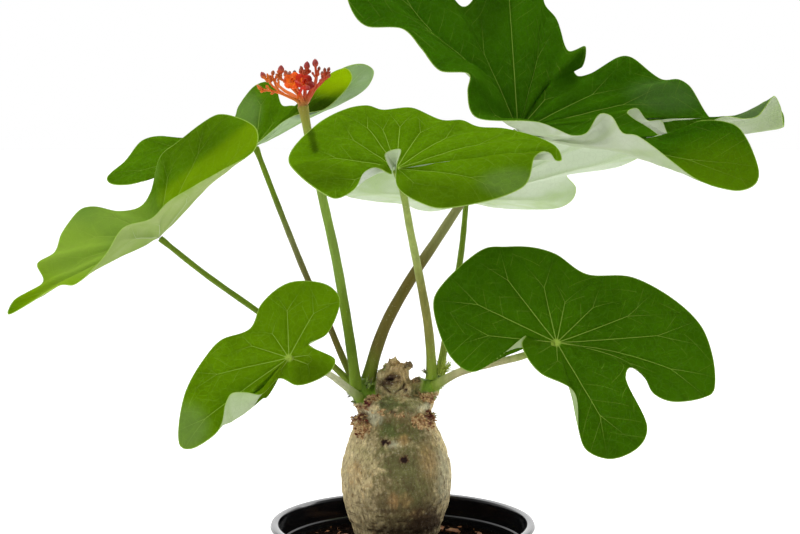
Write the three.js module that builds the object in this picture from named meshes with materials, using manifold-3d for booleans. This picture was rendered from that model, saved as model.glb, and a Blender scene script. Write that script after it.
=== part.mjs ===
// A potted caudex plant: a swollen stem with two leafy shoots, seven broad lobed leaves and a coral
// flower head, standing in soil in a round nursery pot. Millimetres, +Z up, the plant's front towards -Y.
// The origin is the middle of the pot's underside.
import * as THREE from "three";
import { mergeVertices } from "three/addons/utils/BufferGeometryUtils.js";
import Module from "manifold-3d";

const wasm = await Module();
wasm.setup();

// Driving dimensions, millimetres
const GAP = 0.3; // clearance between pieces that touch
const POT_HEIGHT = 113;
const POT_BASE_RADIUS = 46;
const POT_RIM_RADIUS = 65;
const POT_WALL = 1.6;
const RIM_LIP = 4.2; // width of the rolled lip
const BODY_INSET = 3.9; // how far the pot's wall stands in from the lip's edge
const RIM_BAND = 11; // height of the stiffened band below the lip
const DRAIN_HOLES = 8;
const DRAIN_RADIUS = 4;
const SOIL_EDGE = 98.5; // height of the soil at the pot's wall
const SOIL_RISE = 5; // how much higher it stands at the stem
const STEM_X = -3; // the stem stands a little left of the pot's middle
const BLADE = 0.8; // thickness of a leaf

// Facets round each kind of piece
const POT_FACETS = 40;
const SOIL_FACETS = 26;
const STEM_FACETS = 24;
const STEM_RINGS = 22;
const STUB_FACETS = 8;
const STALK_FACETS = 6;
const TWIG_FACETS = 5;
const SPIKE_FACETS = 3;

const vec = (p) => new THREE.Vector3(p[0], p[1], p[2]);

// Seeded draws between 0 and 1, the same on every run.
function draws(seed) {
  let state = seed;
  return () => {
    state = (state * 16807) % 2147483647;
    return state / 2147483647;
  };
}

// Geometry to solid and back, for joins and cuts.
function solidOf(geometry) {
  const bare = geometry.clone();
  bare.deleteAttribute("normal");
  bare.deleteAttribute("uv");
  const merged = mergeVertices(bare, 1e-4);
  return new wasm.Manifold(
    new wasm.Mesh({
      numProp: 3,
      vertProperties: Float32Array.from(merged.attributes.position.array),
      triVerts: Uint32Array.from(merged.index.array),
    }),
  );
}

function geometryOf(solid) {
  const mesh = solid.getMesh();
  const geometry = new THREE.BufferGeometry();
  geometry.setAttribute("position", new THREE.BufferAttribute(mesh.vertProperties, 3));
  geometry.setIndex(new THREE.BufferAttribute(mesh.triVerts, 1));
  geometry.computeVertexNormals();
  return geometry;
}

const joined = (solids) => solids.reduce((whole, next) => whole.add(next));

// A cut can leave a loose scrap: only the largest body is kept.
function largestBody(solid) {
  return solid.decompose().reduce((best, next) => (next.volume() > best.volume() ? next : best));
}

// A solid of revolution about +Z from [radius, height] pairs, which run from the bottom up on the outside.
function revolved(profile, facets) {
  const points = profile.map(([radius, height]) => new THREE.Vector2(radius, height));
  return new THREE.LatheGeometry(points, facets).rotateX(Math.PI / 2);
}

// A closed tube along points. radiusAt gives its radius at a fraction of the way, and the surface is
// moved in or out by relief(fraction, angle) where one is given.
function tube(points, radiusAt, sides, steps, relief = () => 0) {
  const curve = new THREE.CatmullRomCurve3(points.map(vec), false, "centripetal");
  const frames = curve.computeFrenetFrames(steps, false);
  const positions = [];
  const faces = [];
  for (let step = 0; step <= steps; step++) {
    const along = step / steps;
    const centre = curve.getPointAt(along);
    for (let side = 0; side < sides; side++) {
      const angle = (2 * Math.PI * side) / sides;
      const radius = radiusAt(along) + relief(along, angle);
      const offset = frames.normals[step]
        .clone()
        .multiplyScalar(radius * Math.cos(angle))
        .addScaledVector(frames.binormals[step], radius * Math.sin(angle));
      positions.push(...centre.clone().add(offset).toArray());
      if (step === steps) continue;
      const next = (side + 1) % sides;
      const here = step * sides;
      faces.push(here + side, here + next, here + sides + next);
      faces.push(here + side, here + sides + next, here + sides + side);
    }
  }
  const start = positions.length / 3;
  positions.push(...curve.getPointAt(0).toArray(), ...curve.getPointAt(1).toArray());
  for (let side = 0; side < sides; side++) {
    const next = (side + 1) % sides;
    faces.push(start, next, side);
    faces.push(start + 1, steps * sides + side, steps * sides + next);
  }
  const geometry = new THREE.BufferGeometry();
  geometry.setAttribute("position", new THREE.Float32BufferAttribute(positions, 3));
  geometry.setIndex(faces);
  return geometry;
}

// A radius that falls evenly from one value to another.
const taper = (from, to) => (along) => from + (to - from) * along;

// Pot: a thin tapered shell with a rolled lip, a stiff band under it and drain holes in the floor.
const FLOOR = 2.4; // thickness of the pot's floor
const bandBottom = POT_HEIGHT - RIM_BAND;
const bodyTopRadius = POT_RIM_RADIUS - BODY_INSET;
const bandInnerRadius = POT_RIM_RADIUS - RIM_LIP;

const POT_PROFILE = [
  [0, 0],
  [POT_BASE_RADIUS - 3, 0],
  [POT_BASE_RADIUS, 3],
  [bodyTopRadius, bandBottom - 1],
  [bodyTopRadius + 1.8, bandBottom + 0.6],
  [bodyTopRadius + 2.2, POT_HEIGHT - 3.4],
  [POT_RIM_RADIUS - 0.6, POT_HEIGHT - 2.8],
  [POT_RIM_RADIUS, POT_HEIGHT - 1.4],
  [POT_RIM_RADIUS - 0.7, POT_HEIGHT - 0.2],
  [POT_RIM_RADIUS - RIM_LIP / 2, POT_HEIGHT],
  [bandInnerRadius + 0.3, POT_HEIGHT - 0.4],
  [bandInnerRadius, POT_HEIGHT - 1.6],
  [bandInnerRadius - 0.4, bandBottom + 1.2],
  [bodyTopRadius - POT_WALL, bandBottom - 0.4],
  [POT_BASE_RADIUS - POT_WALL, FLOOR + 1],
  [POT_BASE_RADIUS - POT_WALL - 1, FLOOR],
  [0, FLOOR],
];

function makePot() {
  const shell = solidOf(revolved(POT_PROFILE, POT_FACETS));
  const holes = [];
  for (let hole = 0; hole < DRAIN_HOLES; hole++) {
    const angle = (2 * Math.PI * hole) / DRAIN_HOLES;
    const reach = POT_BASE_RADIUS * 0.7;
    const drill = new THREE.CylinderGeometry(DRAIN_RADIUS, DRAIN_RADIUS, 3 * FLOOR, 12)
      .rotateX(Math.PI / 2)
      .translate(reach * Math.cos(angle), reach * Math.sin(angle), FLOOR / 2);
    holes.push(solidOf(drill));
  }
  return shell.subtract(joined(holes));
}

// Stem: radii at heights, from the root's tip in the soil to the crown.
const STEM_PROFILE = [
  [62, 0.8],
  [64, 4.5],
  [74, 9],
  [88, 14.5],
  [98, 17.6],
  [106, 19.9],
  [113, 22.6],
  [119, 24.8],
  [128, 26.7],
  [137, 27.1],
  [143, 26.3],
  [149, 24.8],
  [155, 22.6],
  [159, 20.6],
  [163, 18.7],
  [167, 17.4],
  [170, 17.4],
  [173, 17.6],
  [175.5, 14],
];
const STEM_ROOT = STEM_PROFILE[0][0];
const STEM_TOP = STEM_PROFILE.at(-1)[0];
const BULGE_START = 106; // the stem is plain and round below this, where the soil holds it

// The stem's radius at a height, read off its profile.
function stemRadius(height) {
  const above = STEM_PROFILE.findIndex(([level]) => level >= height);
  if (above < 1) return STEM_PROFILE[above === 0 ? 0 : STEM_PROFILE.length - 1][1];
  const [lowLevel, lowRadius] = STEM_PROFILE[above - 1];
  const [highLevel, highRadius] = STEM_PROFILE[above];
  return lowRadius + ((highRadius - lowRadius) * (height - lowLevel)) / (highLevel - lowLevel);
}

// Soft lobes of the bulge, which fade out where the stem enters the soil.
function bulgeRelief(height, angle) {
  const fade = THREE.MathUtils.smoothstep(height, BULGE_START, BULGE_START + 14);
  const lobes = 0.5 * Math.sin(3 * angle + 0.8) + 0.35 * Math.sin(5 * angle + height / 11);
  return fade * (lobes + 0.25 * Math.sin(height / 2.6 + 2 * angle));
}

function makeStemBody() {
  const heightAt = (along) => STEM_ROOT + (STEM_TOP - STEM_ROOT) * along;
  const axis = [
    [STEM_X, 0, STEM_ROOT],
    [STEM_X, 0, STEM_TOP],
  ];
  const radiusAt = (along) => stemRadius(heightAt(along));
  const relief = (along, angle) => bulgeRelief(heightAt(along), angle);
  return solidOf(tube(axis, radiusAt, STEM_FACETS, STEM_RINGS, relief));
}

// Crown: the sawn stub in the middle, and a corky stub on each side with a green shoot on top.
// Each is a path with its radii, and roughness is how far its bark stands in and out.
const CROWN = [
  { path: [[-4.6, 0, 162], [-4.9, 0, 174], [-5.6, 0, 183]], radii: [11.5, 8.8], rough: 0.9 },
  { path: [[-4.4, 1, 178], [-4.2, 1.5, 187], [-2.2, 2, 190.5]], radii: [8.6, 6.4], rough: 0.8 },
  { path: [[-6.2, 1, 184], [-5.6, 1.5, 191], [-5, 2, 194.4]], radii: [5.4, 2.6], rough: 0.8 },
  { path: [[-10.5, 0, 163], [-15.5, 0, 170], [-18.6, 0, 176.5]], radii: [8.6, 6.2], rough: 0.6 },
  { path: [[2.5, 0, 163], [8.2, 0, 172], [11.6, 0, 183]], radii: [9.6, 6.2], rough: 0.7 },
  { path: [[2, -5, 164], [5.4, -6, 172], [5.4, -6, 178.5]], radii: [7, 4.6], rough: 0.5 },
  { path: [[-19, -0.5, 171], [-20.4, 0, 178], [-20.8, 0.5, 183.5]], radii: [6.6, 5.6], rough: 0 },
  { path: [[11.5, -0.4, 178], [14.4, 0, 183], [16.2, 0.4, 187.5]], radii: [6, 4.6], rough: 0 },
];

function crownStub({ path, radii, rough }, index) {
  const relief = (along, angle) =>
    rough * (Math.sin(3 * angle + 5 * along + index) + 0.6 * Math.sin(5 * angle - 9 * along)) * 0.6;
  return solidOf(tube(path, taper(...radii), STUB_FACETS, 3, relief));
}

// Corky scars of old leaves and branches: lumps half sunk in the bark, [place, size].
const SCARS = [
  { place: [-19.5, -9, 161.5], size: [4.6, 4.4, 5.4] },
  { place: [-17, -13, 157.5], size: [4.2, 3.4, 4.4] },
  { place: [8, -14.2, 165.2], size: [5.2, 3.8, 3.8] },
  { place: [13, -9.5, 164], size: [3.8, 4.6, 4.6] },
  { place: [-3, -18, 165], size: [4.2, 2.2, 2] },
  { place: [-8, -21.4, 156.4], size: [2.2, 1.6, 1.8] },
  { place: [0.8, -24.2, 149], size: [2.2, 1.6, 1.8] },
  { place: [-14, 13.5, 163], size: [4.4, 3.8, 4.2] },
  { place: [5, 16.5, 160.5], size: [4.4, 3.4, 4.6] },
  { place: [-4, 22.6, 152], size: [2.4, 1.8, 2] },
];

function scarLump({ place, size }, index) {
  const lump = mergeVertices(new THREE.IcosahedronGeometry(1, 1).deleteAttribute("uv").deleteAttribute("normal"));
  const position = lump.attributes.position;
  for (let i = 0; i < position.count; i++) {
    const crumble = 1 + 0.16 * Math.sin(7 * i + 3 * index);
    position.setXYZ(
      i,
      place[0] + position.getX(i) * size[0] * crumble,
      place[1] + position.getY(i) * size[1] * crumble,
      place[2] + position.getZ(i) * size[2] * crumble,
    );
  }
  return solidOf(lump);
}

// Bristly stipules round the shoots: each tuft is a spray of spikes whose roots sink into the bark.
const TUFTS = [
  { root: [-24.6, -3.5, 172.5], aim: [-1, -0.5, 0.1], spikes: 4, reach: 4.6 },
  { root: [-22.4, -5.2, 169.5], aim: [-0.9, -0.7, -0.2], spikes: 3, reach: 4 },
  { root: [-24.2, 3.2, 181.6], aim: [-0.6, 0.3, 0.9], spikes: 3, reach: 5 },
  { root: [-16.6, -3.6, 182], aim: [0.5, -0.3, 0.8], spikes: 3, reach: 4.4 },
  { root: [18.6, -1.6, 187], aim: [0.6, -0.4, 0.8], spikes: 6, reach: 7.4 },
  { root: [19, 0.6, 185.6], aim: [1, -0.1, 0.6], spikes: 5, reach: 7 },
  { root: [12.6, -2.4, 186], aim: [-0.7, -0.4, 0.8], spikes: 4, reach: 5.4 },
  { root: [17.6, -3.4, 180], aim: [0.9, -0.5, -0.1], spikes: 3, reach: 4.6 },
  { root: [-10.4, -3, 186], aim: [-0.5, -0.3, 0.9], spikes: 2, reach: 5 },
];

function stipuleTuft({ root, aim, spikes, reach }, index) {
  const draw = draws(4100 + index);
  const start = vec(root);
  const parts = [];
  for (let spike = 0; spike < spikes; spike++) {
    const spread = new THREE.Vector3(draw() - 0.5, draw() - 0.5, draw() - 0.5).multiplyScalar(1.1);
    const heading = vec(aim).add(spread).normalize();
    const back = start.clone().addScaledVector(heading, -1.6);
    const tip = start.clone().addScaledVector(heading, reach * (0.7 + 0.3 * draw()));
    parts.push(solidOf(tube([back.toArray(), tip.toArray()], taper(0.6, 0.2), SPIKE_FACETS, 1)));
  }
  return joined(parts);
}

// Leafstalks and the flower's stalk: routes from the shoots, with radii at the two ends.
const STALKS = {
  near_left: {
    route: [[-20.8, -5, 175], [-28, -14, 182.6], [-34.4, -28, 190], [-43, -41, 196.6], [-52, -50, 201]],
    radii: [1.9, 1.3],
  },
  far_left: {
    route: [[-23.6, 3, 179], [-35, 1.4, 190.6], [-48, -3, 200.8], [-69, -10, 217.4], [-94, -16, 236.4],
      [-115, -20, 254]],
    radii: [1.6, 1.3],
  },
  high_left: {
    route: [[-21.6, 5.4, 175], [-31, 9.4, 196], [-36, 12.6, 207.5], [-47, 20, 230], [-60, 31, 260], [-75, 45, 296]],
    radii: [1.7, 1.4],
  },
  middle: {
    route: [[14.2, -1.6, 184.4], [13.4, -4.6, 199], [11.8, -9, 213.4], [7.8, -20, 236], [3.4, -35, 258.6],
      [0, -49, 276.8], [-3, -55, 287]],
    radii: [2.4, 1.5],
  },
  back: {
    route: [[18, 3.6, 184.4], [20.4, 8, 198], [23.4, 16, 213], [27.4, 29, 229.6], [30.4, 46, 244], [33, 68, 260.6],
      [34, 80, 267]],
    radii: [1.9, 1.4],
  },
  near_right: {
    route: [[15.4, -3.8, 180.8], [21.8, -8.6, 185.4], [28, -14.4, 189.4], [41, -26, 194.8], [55.2, -38, 200.2],
      [65, -46, 205.4], [70, -50, 208]],
    radii: [2.1, 1.5],
  },
  high_right: {
    route: [[-17.6, 4, 179.6], [-12.8, 5, 197.6], [-7.2, 6.4, 211.8], [4.6, 9, 232.4], [16.4, 12, 250],
      [28.2, 15, 267.6], [40.6, 18, 284.8], [50.4, 19.6, 297.4], [57, 20, 304]],
    radii: [3.2, 1.8],
  },
  flower: {
    route: [[-22.4, -2, 178.6], [-25.1, -1.4, 198.8], [-27.2, -0.4, 212.4], [-32.4, 2, 242.4], [-38.6, 4, 270.4],
      [-44.4, 5, 295.8], [-48.2, 5, 315]],
    radii: [2.6, 2],
  },
};

const STALK_SWELLING = 0.35; // how much thicker a stalk is where it leaves the shoot
const STALK_STEP = 11; // length of one stretch of a stalk

// A stalk, or with extra the room that it needs: wider by extra, and deeper by it at the foot.
function stalkSolid({ route, radii }, extra = 0) {
  const length = new THREE.CatmullRomCurve3(route.map(vec)).getLength();
  const steps = Math.max(4, Math.round(length / STALK_STEP));
  const even = taper(...radii);
  const radiusAt = (along) =>
    even(along) * (1 + STALK_SWELLING * Math.exp((-along * length) / 5)) + extra;
  const solid = solidOf(tube(route, radiusAt, STALK_FACETS, steps));
  if (!extra) return solid;
  const downward = vec(route[0]).sub(vec(route[1])).setLength(2 * extra);
  return solid.add(solid.translate(downward.toArray()));
}

// Crowded stalks press flat against each other: each one is cut back from those before it in this order.
const STALK_ORDER = ["flower", "high_right", "middle", "back", "high_left", "near_right", "far_left", "near_left"];

function fittedStalk(name) {
  const before = STALK_ORDER.slice(0, STALK_ORDER.indexOf(name));
  return before.reduce((stalk, other) => stalk.subtract(stalkSolid(STALKS[other], GAP)), stalkSolid(STALKS[name]));
}

// Leaf blades: centre is the top of the leafstalk. The margin's points are [right, back, up] from it,
// and a fourth value is the crest that a curled edge comes over. Crown lifts the blade half way out.
const LEAVES = {
  near_left: {
    centre: [-52, -50, 201],
    crown: [0, 1, 1],
    margin: [
      [12, 4, 5], [18, 7, 11], [23, 13, 25], [20, 15, 30], [14, 16, 33], [-1, 15, 33], [-13, 9, 24],
      [-18, 5, 13], [-31, 3, 8], [-37, 1, 2], [-47, -6, -16], [-48, -14, -38], [-43, -15, -39],
      [-34, -13, -34, [-27, -10, -26]], [-28, -17, -20, [-24, -10, -24]], [-24, -18, -15, [-19, -9, -21]],
      [-18, -16, -15, [-14, -8, -17]], [-12, -11, -15, [-9, -7, -12]], [-3, -6, -12], [4, -4, -12],
      [15, -1, -9], [20, 1, -5], [21, 3, -1],
    ],
  },
  far_left: {
    centre: [-115, -20, 254],
    crown: [0, 0, 2],
    margin: [
      [28, 29, 58], [22, 34, 57], [4, 34, 44], [-3, 30, 38], [-7, 21, 20], [-11, 19, 14], [-24, 27, 11],
      [-36, 30, 13], [-42, 30, 12], [-50, 21, 1], [-52, 13, -8], [-59, 6, -13], [-55, 0, -21],
      [-67, -8, -29], [-69, -12, -35], [-41, -28, -20], [-33, -34, -19], [-19, -38, -6], [-10, -38, 7],
      [2, -34, 11], [9, -34, 18], [20, -30, 25], [32, -22, 32], [46, -10, 41], [46, 4, 51],
    ],
  },
  high_left: {
    centre: [-75, 45, 296],
    crown: [0, 0, 1],
    margin: [
      [2, -8, 2], [15, -20, 12], [23, -24, 16], [37, -26, 19], [49, -23, 31], [50, -20, 35], [47, -16, 39],
      [38, -12, 36], [29, -6, 26], [32, -2, 29], [45, 4, 40], [55, 9, 42], [60, 13, 39], [57, 21, 31],
      [47, 27, 24], [34, 30, 19], [17, 28, 21], [12, 30, 21], [7, 42, 31], [2, 46, 34], [-4, 46, 32],
      [-12, 36, 21], [-14, 28, 14], [-24, 25, 8], [-36, 26, 3], [-52, 31, 4], [-62, 30, 3],
      [-70, 20, -8], [-77, 6, -16], [-74, 0, -19], [-62, -8, -19], [-46, -6, -14], [-17, -12, -3], [-4, -12, -1],
    ],
  },
  middle: {
    centre: [-3, -55, 287],
    crown: [0, 0, 3],
    margin: [
      [3, -20, -8], [11, -27, -14], [20, -29, -16], [56, -16, -7], [63, -5, 5, [43, -5, 3]],
      [70, -2, 6, [47, -2, 5]], [75, 1, 5, [50, 1, 5]], [71, 6, 11, [49, 5, 8]],
      [51, 26, 18], [38, 34, 19], [31, 40, 22], [22, 43, 22], [7, 49, 28], [-7, 48, 27], [-14, 46, 29],
      [-27, 36, 26], [-41, 15, 16], [-48, -4, 5], [-44, -15, -1], [-31, -28, -10], [-26, -29, -12],
      [-19, -25, -8], [-10, -15, -3], [-3, -12, -3],
    ],
  },
  back: {
    centre: [34, 80, 267],
    crown: [0, 0, 2],
    margin: [
      [-22, -25, 19], [-12, -31, 27], [1, -34, 30], [21, -35, 33], [57, -31, 36], [73, -28, 35],
      [86, -25, 30], [91, -22, 26], [79, -12, 18], [54, 5, 14], [60, 14, 6], [59, 19, 0], [55, 24, -4],
      [49, 28, -6], [18, 40, -6], [2, 32, -3], [-6, 38, -6], [-18, 41, -8], [-25, 40, -7], [-33, 35, -4],
      [-56, 27, -1], [-65, 18, 2], [-67, 9, 7], [-61, -1, 15], [-48, -9, 21], [-34, -15, 19],
    ],
  },
  near_right: {
    centre: [70, -50, 208],
    crown: [0, 1, 0],
    margin: [
      [-15, 0, -5], [-8, -6, -13], [2, -9, -22], [8, -16, -39], [12, -18, -46], [23, -18, -50],
      [36, -15, -45], [40, -12, -37], [30, -5, -17], [39, -5, -17], [52, -6, -20.5], [67, -4, -23],
      [72, 0, -22], [68, 11, 6], [38, 17, 28], [15, 17, 30], [1, 22, 39], [-10, 23, 42], [-22, 25, 42],
      [-32, 25, 41], [-54, 17, 22], [-57, 13, 14], [-48, 4, -3], [-38, 0, -8],
    ],
  },
  high_right: {
    centre: [57, 20, 304],
    crown: [0, 0, 2],
    margin: [
      [-82, 21, 59], [-75, 14, 52], [-57, 4, 50], [-48, -4, 40], [-39, -12, 29], [-25, -18, 27],
      [-26, -21, 19], [-23, -28, 7], [7, -38, 4], [22, -48, -2], [28, -48, -1], [36, -44, 7],
      [43, -47, 2], [51, -51, -2], [78, -57, -22], [93, -56, -27], [101, -54, -27], [107, -50, -24],
      [109, -46, -19], [105, -35, -3], [100, -31, 3], [85, -25, 3], [69, -19, -3], [62, -13, 2],
      [53, -6, 9], [58, -3, 11], [64, 0, 5], [75, 4, -1], [88, 6.5, -1], [102, 9, 5], [117, 12, 7],
      [126, 15, 10], [132, 18, 6], [131, 22, 8], [122, 25, 12], [108, 26, 7], [98, 26, 7], [89, 30, 23],
      [76, 32, 26], [60, 38, 38], [55, 38, 38], [39, 33, 29], [31, 30, 29], [32, 33, 36], [30, 34, 42],
      [23, 48, 58], [17, 55, 70], [15, 62, 90], [3, 66, 102], [-8, 64, 99], [-15, 60, 89],
      [-21, 48, 67], [-26, 45, 64], [-39, 50, 80], [-52, 52, 89], [-67, 50, 93], [-79, 42, 87],
      [-86, 32, 75],
    ],
  },
};

const INNER_RING = 0.5; // how far out on the rays the blade's inner ring of points stands
const RING_STEP = 8; // least distance from one point of that ring to the next
const CREST_AT = 0.7; // how far along its ray a crest stands
const SMOOTH_SPAN = 0.07; // share of the margin that the middle is averaged over, to each side
const SMOOTH_SHARE = 0.6; // how far the middle follows that average, and not its own margin point

// A point on a closed margin, by its fraction of the way round.
function marginAt(margin, lengths, fraction) {
  const total = lengths.at(-1);
  const wanted = (((fraction % 1) + 1) % 1) * total;
  const after = lengths.findIndex((length) => length > wanted);
  const before = after - 1;
  const share = (wanted - lengths[before]) / (lengths[after] - lengths[before]);
  return vec(margin[before]).lerp(vec(margin[after % margin.length]), share);
}

// Where the rays bend half way out: a smoothed margin at half its size, lifted by the crown, or what
// makes the ray pass its crest.
function bladeMiddles({ crown, margin }) {
  const lengths = [0];
  margin.forEach((point, i) => {
    lengths.push(lengths[i] + vec(point).distanceTo(vec(margin[(i + 1) % margin.length])));
  });
  const total = lengths.at(-1);
  const taps = [-1, -0.75, -0.5, -0.25, 0, 0.25, 0.5, 0.75, 1];
  return margin.map((point, i) => {
    const edge = vec(point);
    const crest = point[3];
    if (crest) {
      const fromEdge = CREST_AT * CREST_AT;
      return vec(crest).addScaledVector(edge, -fromEdge).divideScalar(2 * CREST_AT * (1 - CREST_AT));
    }
    const sum = new THREE.Vector3();
    for (const tap of taps) sum.add(marginAt(margin, lengths, lengths[i] / total + tap * SMOOTH_SPAN));
    const average = sum.divideScalar(taps.length);
    return edge.lerp(average, SMOOTH_SHARE).multiplyScalar(0.5).add(vec(crown));
  });
}

// The points of the inner ring, by the numbers of their rays: rays that run close together share one.
function innerRing(bends) {
  const kept = [0];
  for (let i = 1; i < bends.length; i++) {
    if (bends[i].distanceTo(bends[kept.at(-1)]) >= RING_STEP) kept.push(i);
  }
  if (bends[kept.at(-1)].distanceTo(bends[0]) < 0.7 * RING_STEP) kept.pop();
  return kept;
}

// The sheet half way through a blade: each ray is a curve from the leafstalk's top to its margin point.
function bladeSheet({ centre, crown, margin }) {
  const count = margin.length;
  const middles = bladeMiddles({ crown, margin });
  const bends = margin.map((point, i) =>
    vec(point)
      .multiplyScalar(INNER_RING ** 2)
      .addScaledVector(middles[i], 2 * INNER_RING * (1 - INNER_RING)),
  );
  const kept = innerRing(bends);
  const wayRound = (i, j) => Math.min((i - j + count) % count, (j - i + count) % count);
  const nearest = (i) => kept.reduce((best, ray, k) => (wayRound(i, ray) < wayRound(i, kept[best]) ? k : best), 0);
  const points = [new THREE.Vector3(), ...kept.map((ray) => bends[ray]), ...margin.map(vec)];
  const rim = 1 + kept.length;
  const faces = [];
  for (let k = 0; k < kept.length; k++) faces.push(0, 1 + k, 1 + ((k + 1) % kept.length));
  for (let i = 0; i < count; i++) {
    const next = (i + 1) % count;
    const inner = 1 + nearest(i);
    const innerNext = 1 + nearest(next);
    faces.push(inner, rim + i, rim + next);
    if (inner !== innerNext) faces.push(inner, rim + next, innerNext);
  }
  const sheet = new THREE.BufferGeometry().setFromPoints(points);
  sheet.setIndex(faces);
  sheet.translate(...centre);
  sheet.computeVertexNormals();
  return sheet;
}

// A blade's solid: the sheet's triangles on both faces, alike, joined round the margin.
function bladeSolid(leaf, thickness) {
  const sheet = bladeSheet(leaf);
  const { position, normal } = sheet.attributes;
  const count = leaf.margin.length;
  const total = position.count;
  const positions = [];
  for (const side of [0.5, -0.5]) {
    for (let i = 0; i < total; i++) {
      const point = new THREE.Vector3().fromBufferAttribute(position, i);
      point.addScaledVector(new THREE.Vector3().fromBufferAttribute(normal, i), side * thickness);
      positions.push(...point.toArray());
    }
  }
  const top = Array.from(sheet.index.array);
  const faces = [...top];
  for (let i = 0; i < top.length; i += 3) {
    faces.push(total + top[i], total + top[i + 2], total + top[i + 1]);
  }
  const rim = total - count;
  for (let i = 0; i < count; i++) {
    const here = rim + i;
    const next = rim + ((i + 1) % count);
    faces.push(here, total + here, total + next);
    faces.push(here, total + next, next);
  }
  const solid = new THREE.BufferGeometry();
  solid.setAttribute("position", new THREE.Float32BufferAttribute(positions, 3));
  solid.setIndex(faces);
  return solidOf(solid);
}

// Flower head: a flat-topped spray of coral twigs. Each twig forks to its buds, [right, back, up, size]
// from the top of the flower's stalk.
const HEAD_BASE = [-48.2, 5, 315.6];
const TWIGS = [
  { fork: [-14.5, -1, 7.8], buds: [[-20.8, -2, 8.9, 1], [-19.9, 2, 15.2, 1.5], [-16.3, -4, 14.5, 1]] },
  { fork: [-11.6, 4, 10], buds: [[-14.1, 7, 16.7, 1.2], [-12, 1, 14.2, 1], [-15, 10, 13, 1]] },
  { fork: [-7.8, -1, 11.1], buds: [[-10.6, 0, 18.6, 1.5], [-6.7, -5, 15.8, 1.1]] },
  { fork: [-2.4, 6, 10.4], buds: [[-3.9, 9, 16.6, 1.2], [-6.2, 12, 14.6, 1], [0.6, 12, 15, 1.2]] },
  { fork: [0.4, -2, 11.1], buds: [[2, 1, 20.4, 1.5], [-0.7, -4, 18.4, 1.1], [2.4, -6, 14.6, 1]] },
  { fork: [5.2, 1, 12.6], buds: [[5.9, 2, 21.5, 1.5], [8, 6, 18.6, 1.1]] },
  { fork: [8.5, -1, 11.1], buds: [[12.8, 2, 18, 1.2], [10.2, -4, 17.8, 1.1], [13, -5, 14.7, 1.1]] },
  { fork: [6, 8, 10], buds: [[9.6, 12, 16, 1.2], [4.6, 13, 16.6, 1.1]] },
  { fork: [1.6, -7, 8.6], buds: [[4.6, -11, 12.6, 1.1], [0.4, -11, 13.4, 1]] },
];
const BUD_LENGTH = 4.2; // of a bud of size 1

// A bud on its stalklet: slim from the fork, then an egg shape at the tip.
function budSolid(root, tip, size, extra) {
  const length = vec(tip).distanceTo(vec(root));
  const end = vec(root).lerp(vec(tip), 1 + extra / length);
  const budStart = Math.max(0.1, 1 - (BUD_LENGTH * size) / length);
  const girth = (along) => {
    const t = Math.max(0, (along - budStart) / (1 - budStart));
    return 0.7 + (1.1 * size - 0.7) * Math.sin(Math.PI * t) - 0.35 * t + extra;
  };
  return solidOf(tube([root, end.toArray()], girth, TWIG_FACETS, 6));
}

// The head, or with extra the room that it needs.
function makeFlowerHead(extra = 0) {
  const base = vec(HEAD_BASE);
  const place = (p) => base.clone().add(vec(p)).toArray();
  const collar = taper(2.3 + extra, 1.7 + extra);
  const parts = [solidOf(tube([place([0, 0, 0]), place([0, 0, 2.6])], collar, STALK_FACETS, 1))];
  for (const { fork, buds } of TWIGS) {
    const waist = fork.map((value, axis) => (axis === 2 ? 0.42 * value : 0.6 * value));
    const end = vec(fork).addScaledVector(vec(fork).sub(vec(waist)).normalize(), 2 * extra);
    const bough = [place([0.08 * fork[0], 0.08 * fork[1], 1]), place(waist), place(end.toArray())];
    parts.push(solidOf(tube(bough, taper(1.2 + extra, 1 + extra), TWIG_FACETS, 2)));
    for (const [right, back, up, size] of buds) {
      parts.push(budSolid(place(fork), place([right, back, up]), size, extra));
    }
  }
  return joined(parts);
}

// Open flowers: a stalklet, a short throat and five round petals.
const OPEN_FLOWERS = {
  open_flower_left: { foot: [-52.6, -2.4, 325.2], heading: [-0.25, -0.75, 0.6], petal: 4.6 },
  open_flower_right: { foot: [-46.4, -4.4, 325.4], heading: [0.3, -0.7, 0.65], petal: 4.2 },
};
const PETALS = 5;
const STALKLET = 8; // reach of an open flower's stalklet, back into the head
const PETAL_THICKNESS = 0.7;

function petalSolid(length) {
  const outline = new THREE.Shape();
  outline.moveTo(0, -0.7);
  outline.bezierCurveTo(0.5 * length, -0.75 * length, 1.15 * length, -0.5 * length, length, 0);
  outline.bezierCurveTo(1.15 * length, 0.5 * length, 0.5 * length, 0.75 * length, 0, 0.7);
  outline.closePath();
  const extrusion = { depth: PETAL_THICKNESS, bevelEnabled: false, curveSegments: 3 };
  return new THREE.ExtrudeGeometry(outline, extrusion).translate(0.3, 0, -PETAL_THICKNESS / 2);
}

function makeOpenFlower({ foot, heading, petal }) {
  const turn = new THREE.Quaternion().setFromUnitVectors(new THREE.Vector3(0, 0, 1), vec(heading).normalize());
  const pose = new THREE.Matrix4().compose(vec(foot), turn, new THREE.Vector3(1, 1, 1));
  const parts = [
    solidOf(tube([[0, 0, 0], [0, 0, 4.2]], taper(0.7, 1.5), TWIG_FACETS, 1).applyMatrix4(pose)),
    solidOf(tube([[0, 0, -STALKLET], [0, 0, 1]], taper(0.6, 0.8), TWIG_FACETS, 1).applyMatrix4(pose)),
  ];
  for (let i = 0; i < PETALS; i++) {
    const leafed = petalSolid(petal)
      .rotateY(-0.45)
      .rotateZ((2 * Math.PI * i) / PETALS)
      .translate(0, 0, 3.4 + 0.12 * i)
      .applyMatrix4(pose);
    parts.push(solidOf(leafed));
  }
  return joined(parts);
}

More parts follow.
